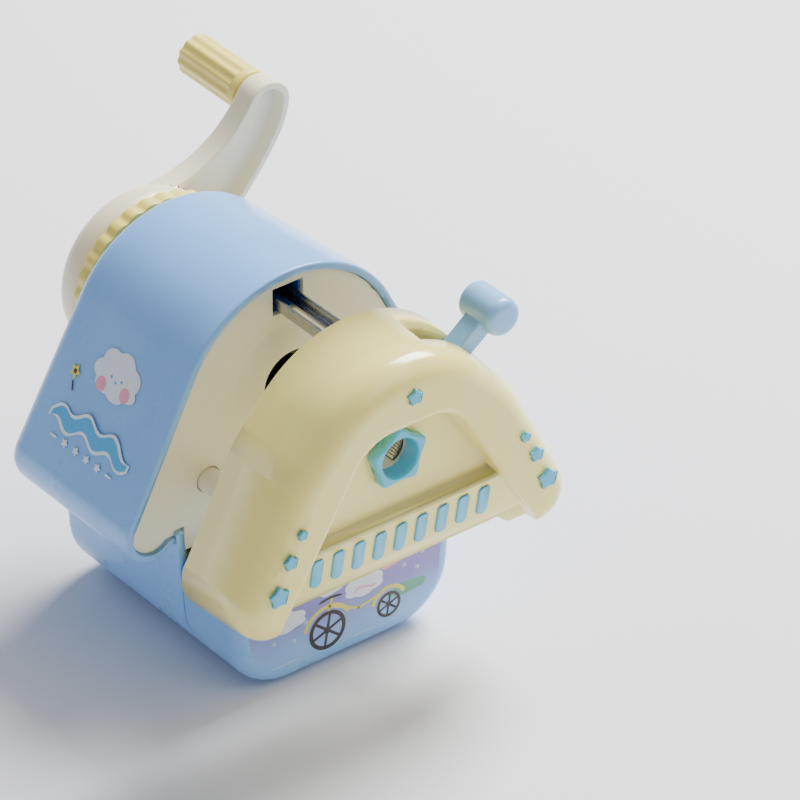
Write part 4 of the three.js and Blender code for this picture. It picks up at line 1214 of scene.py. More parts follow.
    def feet(self) -> None:
        """Makes the four rubber feet."""
        for i in range(1, 5):
            low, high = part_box(f"foot_{i}")
            centre = (low + high) / 2 / MM
            bottom, top = low.z / MM, high.z / MM
            radius = self.foot_radius
            profile = eased(
                [
                    (0.0, -bottom),
                    (radius - 0.35, -bottom),
                    (radius, -bottom - 0.7),
                    (radius, -top),
                    (0.0, -top),
                ],
                0.25,
                3,
                False,
            )
            dimple = rod(1.6, -bottom - 0.25, -bottom + 1, steps=40)
            solid = cut(turned(profile, steps=56), dimple)
            quarter = Matrix.Rotation(-math.pi / 2, 3, "X")
            bmesh.ops.rotate(solid, cent=(0, 0, 0), matrix=quarter, verts=solid.verts)
            moved(solid, (centre.x, centre.y, 0.0))
            piece(f"rubber_foot_{i}", solid, RUBBER, Rides.HOUSING, (f"foot_{i}",), 0.0, 0.1)

    def screws(self) -> None:
        """Makes the two screws in the hood's rear wall."""
        for side, word in ((-1, "left"), (1, "right")):
            face = span_y(f"case_screw_{word}")[1]
            solid = PanScrew(2.8, 1.3, 1.3, 7.0).solid(side * self.screw_reach, face, self.screw_z)
            name = f"case_screw_{word}"
            piece(f"pan_{name}", solid, PLATED_STEEL, Rides.HOUSING, (name,), AXIS, 0.06)

    def springs(self) -> None:
        """Winds the two feed springs, which stretch between the fascia's sleeves and the rods' tails."""
        for side, word in ((-1, "left"), (1, "right")):
            name = f"feed_spring_{word}"
            start, end = span_y(name)
            solid = moved(coil(3.4, 0.35, end - start, 6.5), (side * self.rod_reach, start, -self.rod_drop))
            made = shaped(f"wound_{name}", solid, SPRING_WIRE, AXIS, 0.0)
            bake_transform(made)
            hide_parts(name)

    def build(self) -> None:
        """Makes the whole housing."""
        self.hood()
        self.plate()
        self.base()
        self.feet()
        self.screws()
        self.springs()


# ---------------------------------------------------------------- carriage


@dataclass
class Carriage:
    """The clamp carriage: arch, panel, star boss, stripes, stars, back plate, rods and rail."""

    crown: Circle = Circle(0.0, -3.0, 26.5)
    shoulder: Circle = Circle(8.5, -5.5, 22.0)
    leg: Circle = Circle(31.7, -20.4, 8.0)
    wall: float = 1.6
    front_round: float = 5.0
    draft: float = 1.1  # the front outline is this much smaller all round
    flare: float = 2.2  # rounding of the recess's rim
    recess_depth: float = 6.4
    recess_corner: Circle = Circle(4.6, -0.2, 9.2)
    recess_foot: float = 27.5
    recess_foot_drop: float = 21.0
    bar_top: float = -12.8
    bar_bottom: float = -24.0
    bar_foot: float = 25.4  # underside of the wall that carries the bar, below the axis
    bar_stand_top: float = 3.0
    bar_stand_bottom: float = 0.9
    stripe_count: int = 9
    stripe_pitch: float = 5.0
    stripe_width: float = 2.5
    stripe_top: float = -14.6
    stripe_height: float = 7.0
    hole: float = 4.15
    boss_radius: float = 7.2
    boss_height: float = 2.4
    rod_radius: float = 2.6
    rod_reach: float = 19.4
    rod_drop: float = 15.5
    post_reach: float = 30.0
    post_drop: float = 12.0
    star_proud: float = 0.8

    def __post_init__(self) -> None:
        """Works out the planes from the frame."""
        self.front, self.rear = span_y("carriage_shell")
        self.panel = self.front + self.recess_depth
        self.panel_back = self.panel + self.wall
        self.plate_back = span_y("carriage_back_plate")[1]
        self.plate_front = self.plate_back - 2.0

    def outline(self, offset: float) -> Outline:
        """Returns the outer outline about the pencil axis."""
        circles = [self.leg, self.shoulder, self.crown, self.shoulder.mirrored(), self.leg.mirrored()]
        return belt(circles, offset)

    def recess_outline(self, offset: float) -> Outline:
        """Returns the arch-shaped outline of the recess, open below the legs."""
        run = self.recess_foot_drop + self.recess_corner.z
        flank = math.atan2(self.recess_foot - self.recess_corner.x - self.recess_corner.radius, run)
        below = 12.0
        foot = Circle(self.recess_foot + below * math.tan(flank) - 1, -self.recess_foot_drop - below, 1.0)
        corner = self.recess_corner
        return belt([foot, corner, corner.mirrored(), foot.mirrored()], offset)

    def bar(self) -> Solid:
        """Returns the sloping bar between the legs."""
        profile = [
            (self.panel - self.bar_stand_top, self.bar_top),
            (self.panel + 0.5, self.bar_top + 0.6),
            (self.panel + 0.5, self.bar_bottom),
            (self.panel - self.bar_stand_bottom, self.bar_bottom),
        ]
        half = self.leg.x + self.leg.radius
        solid = bmesh.new()
        corners = [solid.verts.new((-half, y, z)) for y, z in profile]
        face = solid.faces.new(corners)
        grown = bmesh.ops.extrude_face_region(solid, geom=[face])
        tips = [g for g in grown["geom"] if isinstance(g, bmesh.types.BMVert)]
        bmesh.ops.translate(solid, verts=tips, vec=(2 * half, 0, 0))
        bmesh.ops.recalc_face_normals(solid, faces=solid.faces)
        nose = self.panel - self.bar_stand_top
        ease_edges(solid, lambda a, b: abs(a.y - nose) < WELD and abs(b.y - nose) < WELD, 0.9)
        keep = prism(self.recess_outline(self.wall / 2), self.front, self.panel_back)
        return worked(solid, Operation.COMMON, keep)

    def stripes(self, gap: float, front: float, back: float) -> list[Solid]:
        """Returns the nine stripes, grown by a gap for the slots that they stand in."""
        solids = []
        for i in range(self.stripe_count):
            x = (i - (self.stripe_count - 1) / 2) * self.stripe_pitch
            half = self.stripe_width / 2 + gap
            top = self.stripe_top + gap
            low = self.stripe_top - self.stripe_height - gap
            round_top = Circle(x + half - 0.8, top - 0.8, 0.8)
            round_low = Circle(x + 0.12, low + half, half - 0.12)
            circles = [round_low, round_top, Circle(2 * x - round_top.x, round_top.z, 0.8)]
            circles.append(Circle(2 * x - round_low.x, round_low.z, round_low.radius))
            solids.append(prism(belt(circles), front, back, round_front=0.15, segments=3))
        return solids

    def stars(self) -> dict[str, tuple[float, float, float]]:
        """Returns each star's place about the pencil axis and its radius, by CAD node."""
        places = {"star_top": (0.0, 16.3, 1.9)}
        for side, word in ((-1, "left"), (1, "right")):
            places[f"star_{word}_small"] = (side * 26.7, -3.8, 1.3)
            places[f"star_{word}_medium"] = (side * 29.5, -8.9, 1.8)
            places[f"star_{word}_large"] = (side * 32.3, -15.6, 2.5)
        return places

    def lever_slot(self) -> Solid:
        """Returns the opening that the lever's stem swings in."""
        middle, half = math.radians(37 + 12.5), math.radians(20.5)
        outer = arc(Circle(0, 0, 33.0), middle - half, middle + half)
        inner = arc(Circle(0, 0, 14.0), middle + half, middle - half)
        return prism(outer + inner, self.panel_back + 0.2, self.panel_back + 5.4)

    def between_legs(self, inset: float = 0.0) -> Solid:
        """Returns the space under the bar between the legs.

        Args:
            inset: How far inside the outer outline the legs' own outline lies.

        Returns:
            The closed solid, as deep as the carriage.
        """
        leg = Circle(self.leg.x, self.leg.z, self.leg.radius - inset)
        turn = math.asin((leg.z - inset + self.bar_foot) / leg.radius)
        low = leg.z - leg.radius - 1
        left = arc(leg.mirrored(), -math.pi / 2, -turn)
        right = arc(leg, turn - math.pi, -math.pi / 2)
        return prism([(-leg.x, low), *left, *right, (leg.x, low)], self.front - 1, self.rear + 1)

    def shell(self) -> None:
        """Makes the glossy arch with its recess, bar and posts."""
        outer = prism(
            self.outline(0.0),
            self.front,
            self.rear,
            self.outline(-self.draft),
            round_front=self.front_round,
            segments=12,
        )
        rings = []
        steps = 8
        for i in range(steps + 1):
            turn = math.pi / 2 * i / steps
            flare = self.flare * (1 - math.sin(turn))
            rings.append((self.recess_outline(flare), self.front + self.flare * (1 - math.cos(turn))))
        mouth = (self.recess_outline(self.flare + 0.2), self.front - 1)
        recess = loft([mouth, *rings, (self.recess_outline(0.0), self.panel)])
        solid = cut(outer, recess, self.between_legs())
        hollow = prism(
            self.outline(-self.wall),
            self.front + self.wall,
            self.rear + 1,
            self.outline(-self.wall - self.draft),
            round_front=self.front_round - self.wall,
        )
        walls = prism(self.recess_outline(self.wall), self.front - 1, self.panel_back)
        solid = cut(solid, cut(hollow, walls, self.between_legs(self.wall)))
        posts = [
            rod(2.6, self.front + self.wall / 2, self.plate_front - 0.3, reach, -self.post_drop)
            for reach in (-self.post_reach, self.post_reach)
        ]
        pilots = [
            rod(1.2, self.front + 3, self.plate_front, side * self.post_reach, -self.post_drop, 24)
            for side in (-1, 1)
        ]
        solid = joined(solid, self.bar(), *posts)
        slots = self.stripes(0.06, self.front, self.panel_back + 1)
        tube = rod(self.hole + 1.3, self.panel - 1, self.panel_back + 1)
        solid = cut(solid, self.lever_slot(), together(tube, *pilots), together(*slots))
        piece("carriage_arch", solid, CREAM, Rides.CARRIAGE, ("carriage_shell",), AXIS, 0.0)

    def trim(self) -> None:
        """Makes the star boss, the stripes and the seven small stars."""
        plate = prism(
            star_outline(0.0, 0.0, self.boss_radius, 0.72, 1.7),
            self.panel - self.boss_height,
            self.panel - 0.2,
            round_front=0.7,
            segments=4,
        )
        tube = rod(self.hole + 1.2, self.panel - 1, self.panel_back + 0.1)
        mouth = self.panel - self.boss_height
        throat = [(self.hole + 1.2, mouth - 1), (self.hole, mouth + 0.3), (self.hole, mouth + 2)]
        end = self.panel_back + 1
        bore = turned([(0.0, mouth - 1), *eased(throat, 0.8, 5, False), (self.hole, end), (0.0, end)])
        solid = cut(joined(plate, tube), bore)
        piece("boss_star", solid, TURQUOISE, Rides.CARRIAGE, ("star_boss",), AXIS, 0.1)

        reach = ((self.stripe_count - 1) * self.stripe_pitch + self.stripe_width) / 2
        low = self.stripe_top - self.stripe_height
        backing = block((-reach, self.panel_back + 0.2, low), (reach, self.panel_back + 1, self.stripe_top))
        slope = math.atan2(self.bar_stand_top - self.bar_stand_bottom, self.bar_top - self.bar_bottom)
        share = (self.bar_top - self.stripe_top) / (self.bar_top - self.bar_bottom)
        stand = self.bar_stand_top + (self.bar_stand_bottom - self.bar_stand_top) * share
        keep = block((-50, 0, -50), (50, 50, 50))
        bmesh.ops.rotate(keep, cent=(0, 0, 0), matrix=Matrix.Rotation(slope, 3, "X"), verts=keep.verts)
        moved(keep, (0.0, self.panel - stand - 0.35, self.stripe_top))
        comb = joined(backing, together(*self.stripes(0.0, self.front, self.panel_back + 0.5)))
        comb = worked(comb, Operation.COMMON, keep)
        piece("bar_stripes", comb, TURQUOISE, Rides.CARRIAGE, ("stripe_insert",), AXIS, 0.0)

        for name, (x, z, radius) in self.stars().items():
            outline = star_outline(x, z, radius, 0.66, 0.3)
            near, far = self.front - self.star_proud, self.front - 0.02
            solid = prism(outline, near, far, round_front=0.22, segments=4)
            piece(f"raised_{name}", solid, TURQUOISE, Rides.CARRIAGE, (name,), AXIS, 0.0)

    def cover(self) -> None:
        """Makes the back plate with its pivot tube, and its two screws."""
        sheet = prism(self.outline(-self.wall - 0.3), self.plate_front, self.plate_back)
        low_y = span_y("carriage_back_plate")[0]
        pivot = rod(5.6, low_y + 0.2, self.plate_front + 0.1)
        anchor_x, anchor_z = 20 * math.cos(math.radians(138)), 20 * math.sin(math.radians(138))
        post = rod(1.4, low_y, self.plate_front + 0.1, anchor_x, anchor_z, 32)
        bore = rod(self.hole + 0.35, low_y - 1, self.plate_back + 1)
        holes = []
        for side in (-1, 1):
            near, far = self.plate_front - 1, self.plate_back + 1
            holes.append(rod(self.rod_radius + 0.1, near, far, side * self.rod_reach, -self.rod_drop))
            holes.append(rod(1.3, near, far, side * self.post_reach, -self.post_drop, 24))
        rail = block((-2.9, self.plate_front - 1, 16.0), (2.9, self.plate_back + 1, 19.2))
        gap = self.between_legs(self.wall + 0.3)
        solid = cut(joined(sheet, pivot, post), bore, together(*holes), rail, gap)
        name = "carriage_back_plate"
        piece("carriage_cover", solid, CREAM, Rides.CARRIAGE, (name,), AXIS, 0.15)
        for side, word in ((-1, "left"), (1, "right")):
            name = f"back_plate_screw_{word}"
            face = span_y(name)[1]
            solid = PanScrew(2.1, 1.2, 1.1, 7.0).solid(side * self.post_reach, face, -self.post_drop)
            piece(f"pan_{name}", solid, PLATED_STEEL, Rides.CARRIAGE, (name,), AXIS, 0.05)

    def rods(self) -> None:
        """Makes the two guide rods with their tail screws."""
        for side, word in ((-1, "left"), (1, "right")):
            name = f"guide_rod_{word}"
            front, back = span_y(name)
            head = self.rod_radius + 1
            profile = [(0.0, front), (head, front), (head, front + 1.5), (self.rod_radius, front + 1.5)]
            corners = [(self.rod_radius, front + 1.5), (self.rod_radius, back), (1.3, back)]
            tail = eased(corners, 0.5, 4, False)[1:]
            profile += [*tail, (1.3, back - 6.8), (0.0, back - 6.8)]
            solid = turned(profile, side * self.rod_reach, -self.rod_drop, 64)
            piece(f"ivory_{name}", solid, IVORY, Rides.CARRIAGE, (name,), AXIS, 0.1)
            name = f"rod_screw_{word}"
            face = span_y(name)[1]
            solid = PanScrew(3.9, 1.4, 1.0, 7.0).solid(side * self.rod_reach, face, -self.rod_drop)
            piece(f"washer_{name}", solid, PLATED_STEEL, Rides.CARRIAGE, (name,), AXIS, 0.06)

    def rail(self) -> None:
        """Makes the pressed rail: an open channel with a long slot in its floor."""
        low, high = (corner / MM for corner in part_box("feed_rail"))
        half, bottom, top = high.x, low.z - AXIS, high.z - AXIS
        metal = 0.6
        corners = [
            (-half, top),
            (-half, bottom),
            (half, bottom),
            (half, top),
            (half - metal, top),
            (half - metal, bottom + metal),
            (-half + metal, bottom + metal),
            (-half + metal, top),
        ]
        section = eased(corners, 0.28, 3)
        channel = prism(section, low.y, high.y)
        slot = block((-0.9, self.rear + 2, bottom - 1), (0.9, high.y - 3, bottom + metal + 1))
        solid = cut(channel, slot)
        piece("pressed_rail", solid, PRESSED_STEEL, Rides.CARRIAGE, ("feed_rail",), AXIS, 0.05)

    def build(self) -> None:
        """Makes the whole carriage."""
        self.shell()
        self.trim()
        self.cover()
        self.rods()
        self.rail()


# ---------------------------------------------------------------- clamp


@dataclass
class Clamp:
    """Jaw guide, three jaws, the lever with its cam disc, and the lever's return spring."""

    hole: float = 4.15
    guide_radius: float = 12.0
    jaw_width: float = 4.6
    jaw_inner: float = 3.6
    jaw_length: float = 6.6
    cam_radius: float = 14.0
    cam_bore: float = 5.9
    pin_ring: float = 8.0
    travel: float = 1.2
    lever_angle: float = 37.0
    lever_turn: float = 25.0
    stem_width: float = 4.6
    stem_thickness: float = 4.2
    knob_ring: float = 33.0
    knob_radius: float = 4.0
    knob_length: float = 10.4

    def guide(self) -> None:
        """Makes the disc with three radial channels."""
        front, back = span_y("jaw_guide")
        disc = rod(self.guide_radius, front, back, steps=96)
        channels = [
            turned_to(
                block(
                    (0, front + 0.8, -self.jaw_width / 2 - 0.2),
                    (self.cam_radius + 1, back + 1, self.jaw_width / 2 + 0.2),
                ),
                angle,
            )
            for angle in (90, 210, 330)
        ]
        solid = cut(disc, rod(self.hole + 0.25, front - 1, back + 1), *channels)
        piece("guide_disc", solid, IVORY, Rides.CARRIAGE, ("jaw_guide",), AXIS, 0.1)

    def jaws(self) -> None:
        """Makes the three jaws, each with a grooved nose and a cam pin."""
        for i, (angle, rides) in enumerate(((90, Rides.JAW_A), (210, Rides.JAW_B), (330, Rides.JAW_C)), 1):
            front, back = span_y(f"jaw_{i}")
            face = span_y("jaw_guide")[1] - 0.1
            nose = self.jaw_inner
            slab = block(
                (nose, front, -self.jaw_width / 2), (nose + self.jaw_length, face, self.jaw_width / 2), 0.15
            )
            grooves = [
                block((nose - 0.5, front - 1, z - 0.12), (nose + 0.35, face + 1, z + 0.12))
                for z in (-1.5, -0.9, -0.3, 0.3, 0.9, 1.5)
            ]
            pin = rod(1.0, face - 0.5, back, self.pin_ring, 0.0, 32)
            solid = turned_to(joined(cut(slab, together(*grooves)), pin), angle)
            piece(f"grooved_jaw_{i}", solid, PLATED_STEEL, rides, (f"jaw_{i}",), AXIS, 0.04)

    def cam_slot(self, front: float, back: float) -> Solid:
        """Returns the cutter for one spiral slot in the cam disc."""
        half = 1.3
        steps = 12
        sides: tuple[Outline, Outline] = ([], [])
        for k in range(steps + 1):
            share = -0.1 + 1.2 * k / steps
            ring = self.pin_ring + self.travel * share
            angle = -math.radians(self.lever_turn) * share
            for side, line in zip((half, -half), sides):
                line.append(((ring + side) * math.cos(angle), (ring + side) * math.sin(angle)))
        outline = sides[0] + sides[1][::-1]
        return prism(eased(outline, 0.8, 3), front - 1, back + 1)

    def lever(self) -> None:
        """Makes the cam disc, stem and rounded knob in one moulding."""
        low, high = span_y("release_lever")
        cam_back = high
        cam_front = cam_back - 1.8
        middle = low + self.knob_length / 2
        stem_front = middle - self.stem_width / 2
        disc = rod(self.cam_radius, cam_front, cam_back, steps=96)
        half = self.stem_thickness / 2
        stem = block(
            (self.guide_radius + 0.3, stem_front, -half),
            (self.knob_ring, stem_front + self.stem_width, half),
            0.55,
        )
        end, radius = self.knob_length / 2, self.knob_radius
        barrel = eased([(0.0, -end), (radius, -end), (radius, end), (0.0, end)], 1.9, 8, False)
        knob = moved(turned([(r, y) for r, y in barrel], steps=64), (self.knob_ring, middle, 0.0))
        handle = turned_to(joined(stem, knob), self.lever_angle)
        lug_x, lug_z = 15.4 * math.cos(math.radians(172)), 15.4 * math.sin(math.radians(172))
        lug = rod(1.8, cam_front, cam_back, lug_x, lug_z, 40)
        web = turned_to(block((12.0, cam_front, -1.6), (15.2, cam_back, 1.6)), 172)
        slots = [turned_to(self.cam_slot(cam_front, cam_back), angle) for angle in (90, 210, 330)]
        solid = joined(disc, handle, lug, web)
        lug_hole = rod(0.8, low, high + 1, lug_x, lug_z, 32)
        bores = together(rod(self.cam_bore, cam_front - 1, cam_back + 1), lug_hole)
        solid = cut(solid, bores, *slots)
        piece("clamp_lever", solid, LEVER_BLUE, Rides.LEVER, ("release_lever",), AXIS, 0.15)

    def spring(self) -> None:
        """Winds the return spring, which stretches between the carriage and the cam disc's lug."""
        front, back = span_y("lever_spring")
        start = Vector((15.4 * math.cos(math.radians(172)), 15.4 * math.sin(math.radians(172))))
        end = Vector((20 * math.cos(math.radians(138)), 20 * math.sin(math.radians(138))))
        run = end - start
        hook = 2.4
        solid = moved(coil(1.3, 0.3, run.length - 2 * hook, 8, 20), (0.0, hook, 0.0))
        quarter = Matrix.Rotation(-math.pi / 2, 3, "Z")
        bmesh.ops.rotate(solid, cent=(0, 0, 0), matrix=quarter, verts=solid.verts)
        turned_to(solid, math.degrees(math.atan2(run.y, run.x)))
        moved(solid, (start.x, (front + back) / 2, start.y))
        made = shaped("wound_lever_spring", solid, SPRING_WIRE, AXIS, 0.0)
        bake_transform(made)
        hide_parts("lever_spring")

    def build(self) -> None:
        """Makes the whole clamp."""
        self.guide()
        self.jaws()
        self.lever()
        self.spring()


# ---------------------------------------------------------------- crank


@dataclass
class Crank:
    """Crank with its screw, spinning grip and pin, and the adjuster ring in front of it."""

    hub_radius: float = 18.5
    arm_thickness: float = 5.8
    arm_end: float = 5.0
    arm_rim: float = 1.6
    arm_recess: float = 3.0
    grip_x: float = 32.1
    grip_z: float = 25.7
    grip_radius: float = 4.6
    grip_ribs: int = 12
    pin_radius: float = 2.0
    dial_radius: float = 19.6
    dial_ribs: int = 30

    def __post_init__(self) -> None:
        """Works out the planes from the frame."""
        self.hub_front, self.arm_back = span_y("crank_arm")
        self.hub_back = self.arm_back - 0.5
        self.arm_front = self.arm_back - self.arm_thickness

    def arm_outline(self, inset: float) -> Outline:
        """Returns the arm's outline: hub end, concave upper edge, round tip and full lower edge."""
        hub = Circle(0.0, 0.0, self.hub_radius - 3.5 - inset)
        tip = Circle(self.grip_x, self.grip_z, self.arm_end - inset)
        upper, lower = hub.at(math.radians(92)), hub.at(math.radians(-28))
        tip_left, tip_right = tip.at(math.radians(150)), tip.at(math.radians(-12))
        start_pull = (upper[0] + 12, upper[1] - inset * 0.3)
        rise = self.curve(upper, start_pull, (tip_left[0] - 6, tip_left[1] - 10), tip_left)
        end = arc(tip, math.radians(150), math.radians(-12))
        tip_pull = (tip_right[0] - 1, tip_right[1] - 10)
        fall = self.curve(tip_right, tip_pull, (lower[0] + 6, lower[1] + 8), lower)
        root = arc(hub, math.radians(-28), math.radians(92 - 360))
        return [*rise[:-1], *end[:-1], *fall[:-1], *root[:-1]]

    def curve(
        self, a: tuple[float, float], b: tuple[float, float], c: tuple[float, float], d: tuple[float, float]
    ) -> Outline:
        """Returns 25 points of a cubic curve with ends a and d and handles b and c."""
        steps = 24
        points = []
        for i in range(steps + 1):
            t = i / steps
            shares = ((1 - t) ** 3, 3 * t * (1 - t) ** 2, 3 * t * t * (1 - t), t**3)
            points.append(tuple(sum(s * p[k] for s, p in zip(shares, (a, b, c, d))) for k in (0, 1)))
        return points

    def bowl(self) -> Solid:
        """Returns the space inside the hub dish."""
        front, back, radius = self.hub_front, self.hub_back, self.hub_radius
        profile = [(0.0, front - 1), (radius - 2.4, front - 1), (radius - 2.8, back - 5.5)]
        return turned([*profile, (radius - 5, back - 3), (0.0, back - 3)], steps=96)

    def arm(self) -> None:
        """Makes the hub dish and the curved arm, hollowed on the side that faces the hood."""
        front, back, radius = self.hub_front, self.hub_back, self.hub_radius
        rim = eased(
            [(0.0, front), (radius, front), (radius - 0.7, back - 2.6), (radius - 4.6, back), (0.0, back)],
            3.0,
            12,
            False,
        )
        dish = turned(rim, steps=128)
        boss = rod(7.0, front, back - 1)
        arm = prism(self.arm_outline(0.0), self.arm_front, self.arm_back, round_back=1.6, segments=6)
        arm_hollow = cut(
            prism(self.arm_outline(self.arm_rim), self.arm_front - 1, self.arm_front + self.arm_recess),
            rod(radius - 1.5, self.arm_front - 2, self.arm_back),
        )
        body = joined(cut(dish, self.bowl()), boss, cut(arm, self.bowl()))
        square = 2.7
        socket = block((-square, front - 1, -square), (square, back - 3.5, square))
        recess = rod(4.3, front - 1, front + 1.2)
        screw_hole = rod(1.8, front, self.arm_back + 1, steps=32)
        head_hole = rod(3.4, self.arm_back - 1.6, self.arm_back + 1)
        low, high = self.arm_back - 2.2, self.arm_back + 1
        pin_hole = rod(self.pin_radius + 0.1, low, high, self.grip_x, self.grip_z)
        solid = cut(body, arm_hollow, socket, recess, screw_hole, head_hole, pin_hole)
        piece("crank_handle", solid, WHITE, Rides.CRANK, ("crank_arm",), AXIS, 0.35)

    def grip(self) -> None:
        """Makes the ribbed grip and the pin that it spins on."""
        front, back = span_y("crank_grip")
        section = scalloped(self.grip_ribs, self.grip_radius, 0.3, 1.0)
        ribs = prism(section, front + 1.3, back, round_back=0.7, segments=4)
        wide = self.grip_radius
        collar = turned(
            eased([(0.0, front), (wide, front), (wide, front + 1.9), (0.0, front + 1.9)], 0.35, 4, False),
            steps=72,
        )
        bore = rod(self.pin_radius + 0.2, front - 1, back - 1.6)
        dimple = turned([(0.0, back - 0.5), (1.6, back - 0.5), (2.0, back + 1), (0.0, back + 1)], steps=40)
        solid = moved(cut(joined(ribs, collar), bore, dimple), (self.grip_x, 0.0, self.grip_z))
        piece("ribbed_grip", solid, BUTTER, Rides.GRIP, ("crank_grip",), AXIS, 0.12)
        front, back = span_y("grip_pin")
        wide = self.pin_radius
        profile = eased([(0.0, front), (wide, front), (wide, back), (0.0, back)], 0.4, 3, False)
        pin = turned(profile, self.grip_x, self.grip_z, 40)
        piece("pressed_grip_pin", pin, PLATED_STEEL, Rides.CRANK, ("grip_pin",), AXIS, 0.0)

    def screw(self) -> None:
        """Makes the screw that holds the crank on its shaft."""
        face = span_y("crank_screw")[1]
        solid = PanScrew(3.2, 1.5, 1.1, 9.0).solid(0.0, face, 0.0)
        piece("hub_screw", solid, PLATED_STEEL, Rides.CRANK, ("crank_screw",), AXIS, 0.06)

    def dial(self) -> None:
        """Makes the ribbed adjuster ring."""
        front, back = span_y("adjuster_dial")
        section = scalloped(self.dial_ribs, self.dial_radius, 0.5, 1.6)
        ring = prism(section, front, back, round_front=0.3, round_back=0.3, segments=3)
        relief = cut(rod(self.dial_radius - 2.6, front - 1, front + 1.4, steps=96), rod(7.5, front - 2, back))
        solid = cut(ring, relief, rod(4.3, front - 1, back + 1))
        piece("point_adjuster", solid, BUTTER, Rides.DIAL, ("adjuster_dial",), AXIS, 0.1)

    def build(self) -> None:
        """Makes the whole crank."""
        self.arm()
        self.grip()
        self.screw()
        self.dial()


# ---------------------------------------------------------------- drawer


@dataclass
class Drawer:
    """Drawer front and the tray behind it."""

    housing: Housing
    top_drop: float = 29.9
    corner: float = 3.8
    edge: float = 3.0
    wall: float = 1.4

    def front(self) -> None:
        """Makes the hollow drawer front."""
        low, high = span_y("drawer_front")
        top = AXIS - self.top_drop
        outer = prism(self.housing.base_outline(0.0, top, self.corner), low, high, round_front=self.edge)
        inner = prism(
            self.housing.base_outline(-self.wall, top, self.corner),
            low + self.wall,
            high + 1,
            round_front=self.edge - self.wall,
        )
        face = cut(outer, inner)
        piece("drawer_face", face, SHELL_BLUE, Rides.DRAWER, ("drawer_front",), 0.0, 0.3)

    def tray(self) -> None:
        """Makes the open-topped tray."""
        low, high = span_y("drawer_tray")
        gap = self.housing.base_wall + 0.6
        top = AXIS - self.top_drop - 1.0
        tall = top + self.housing.base_corner + 12
        corner = self.housing.base_corner
        outer = prism(self.housing.base_outline(-gap, tall, corner), low, high, round_back=1.2)
        inner = prism(
            self.housing.base_outline(-gap - self.wall, tall, corner),
            low + self.wall,
            high - self.wall,
            round_front=0.6,
            round_back=0.6,
        )
        above = block((-60, -60, top), (60, 60, tall + 5))
        solid = cut(outer, inner, above)
        piece("shavings_tray", solid, SMOKE, Rides.DRAWER, ("drawer_tray",), 0.0, 0.15)

    def build(self) -> None:
        """Makes the whole drawer."""
        self.front()
        self.tray()


# ---------------------------------------------------------------- prints


@dataclass
class Print:
    """Flat printed motifs on one face, in its own across and up coordinates."""

    title: str
    origin: Vector
    across: Vector
    up: Vector
    rides: Rides
    sink: float = 0.05
    layer: float = 0.02
    inward: Callable[[Vector], float] = lambda point: 0.0  # how far the face lies behind its plane

    def lay(
        self,
        name: str,
        outlines: list[Outline],
        finish: Finish,
        level: int,
        hole: list[Outline] | None = None,
    ) -> None:
        """Lays one ink on the face.

        Args:
            name: The motif's name.
            outlines: Its closed outlines, which don't cross each other.
            finish: The ink.
            level: Its place in the stack of inks, from 1.
            hole: Outlines that are left bare inside it.
        """
        proud = self.layer * level
        solid = together(*[prism(outline, -proud, self.sink) for outline in outlines])
        if hole:
            solid = cut(solid, together(*[prism(outline, -1.0, 1.0) for outline in hole]))
        out = self.across.cross(self.up)
        turn = Matrix((self.across, -out, self.up)).transposed()
        bmesh.ops.rotate(solid, cent=(0, 0, 0), matrix=turn, verts=solid.verts)
        moved(solid, tuple(self.origin))
        for corner in solid.verts:
            corner.co -= out * self.inward(corner.co)
        piece(f"{self.title}_{name}", solid, finish, self.rides, (), 0.0, 0.0)


def cloud_outline(x: float, z: float, width: float, height: float, lobes: int) -> Outline:
    """Returns a puffy cloud: an ellipse whose edge swells into lobes."""
    count = lobes * 10
    points = []
    for i in range(count):
        angle = math.tau * i / count
        swell = 1.0 + 0.16 * abs(math.sin(angle * lobes / 2))
        flat = 0.72 if math.sin(angle) < 0 else 1.0
        across = x + width / 2 * swell * math.cos(angle)
        points.append((across, z + height / 2 * swell * flat * math.sin(angle)))
    return points


def wave_outline(
    start: float, end: float, z: float, rise: float, half: float, waves: float, bow: float
) -> Outline:
    """Returns a wavy ribbon from start to end across, half mm either side of its middle line."""
    count = 60
    sides: tuple[Outline, Outline] = ([], [])
    for i in range(count + 1):
        share = i / count
        x = start + (end - start) * share
        middle = z + rise * math.sin(share * waves * math.tau) - bow * (2 * share - 1) ** 2
        slim = half * min(1.0, 0.35 + 4 * min(share, 1 - share))
        sides[0].append((x, middle - slim))
        sides[1].append((x, middle + slim))
    return sides[0] + sides[1][::-1]


def petals(x: float, z: float, radius: float, count: int) -> Outline:
    """Returns a small flower with round petals."""
    return [(x + px, z + pz) for px, pz in scalloped(count, radius, radius * 0.4, 0.8, 12)]


def bar_outline(a: tuple[float, float], b: tuple[float, float], half: float) -> Outline:
    """Returns a straight stroke with round ends."""
    turn = math.atan2(b[1] - a[1], b[0] - a[0])
    low = arc(Circle(a[0], a[1], half), turn + math.pi / 2, turn + 3 * math.pi / 2)
    return low + arc(Circle(b[0], b[1], half), turn - math.pi / 2, turn + math.pi / 2)


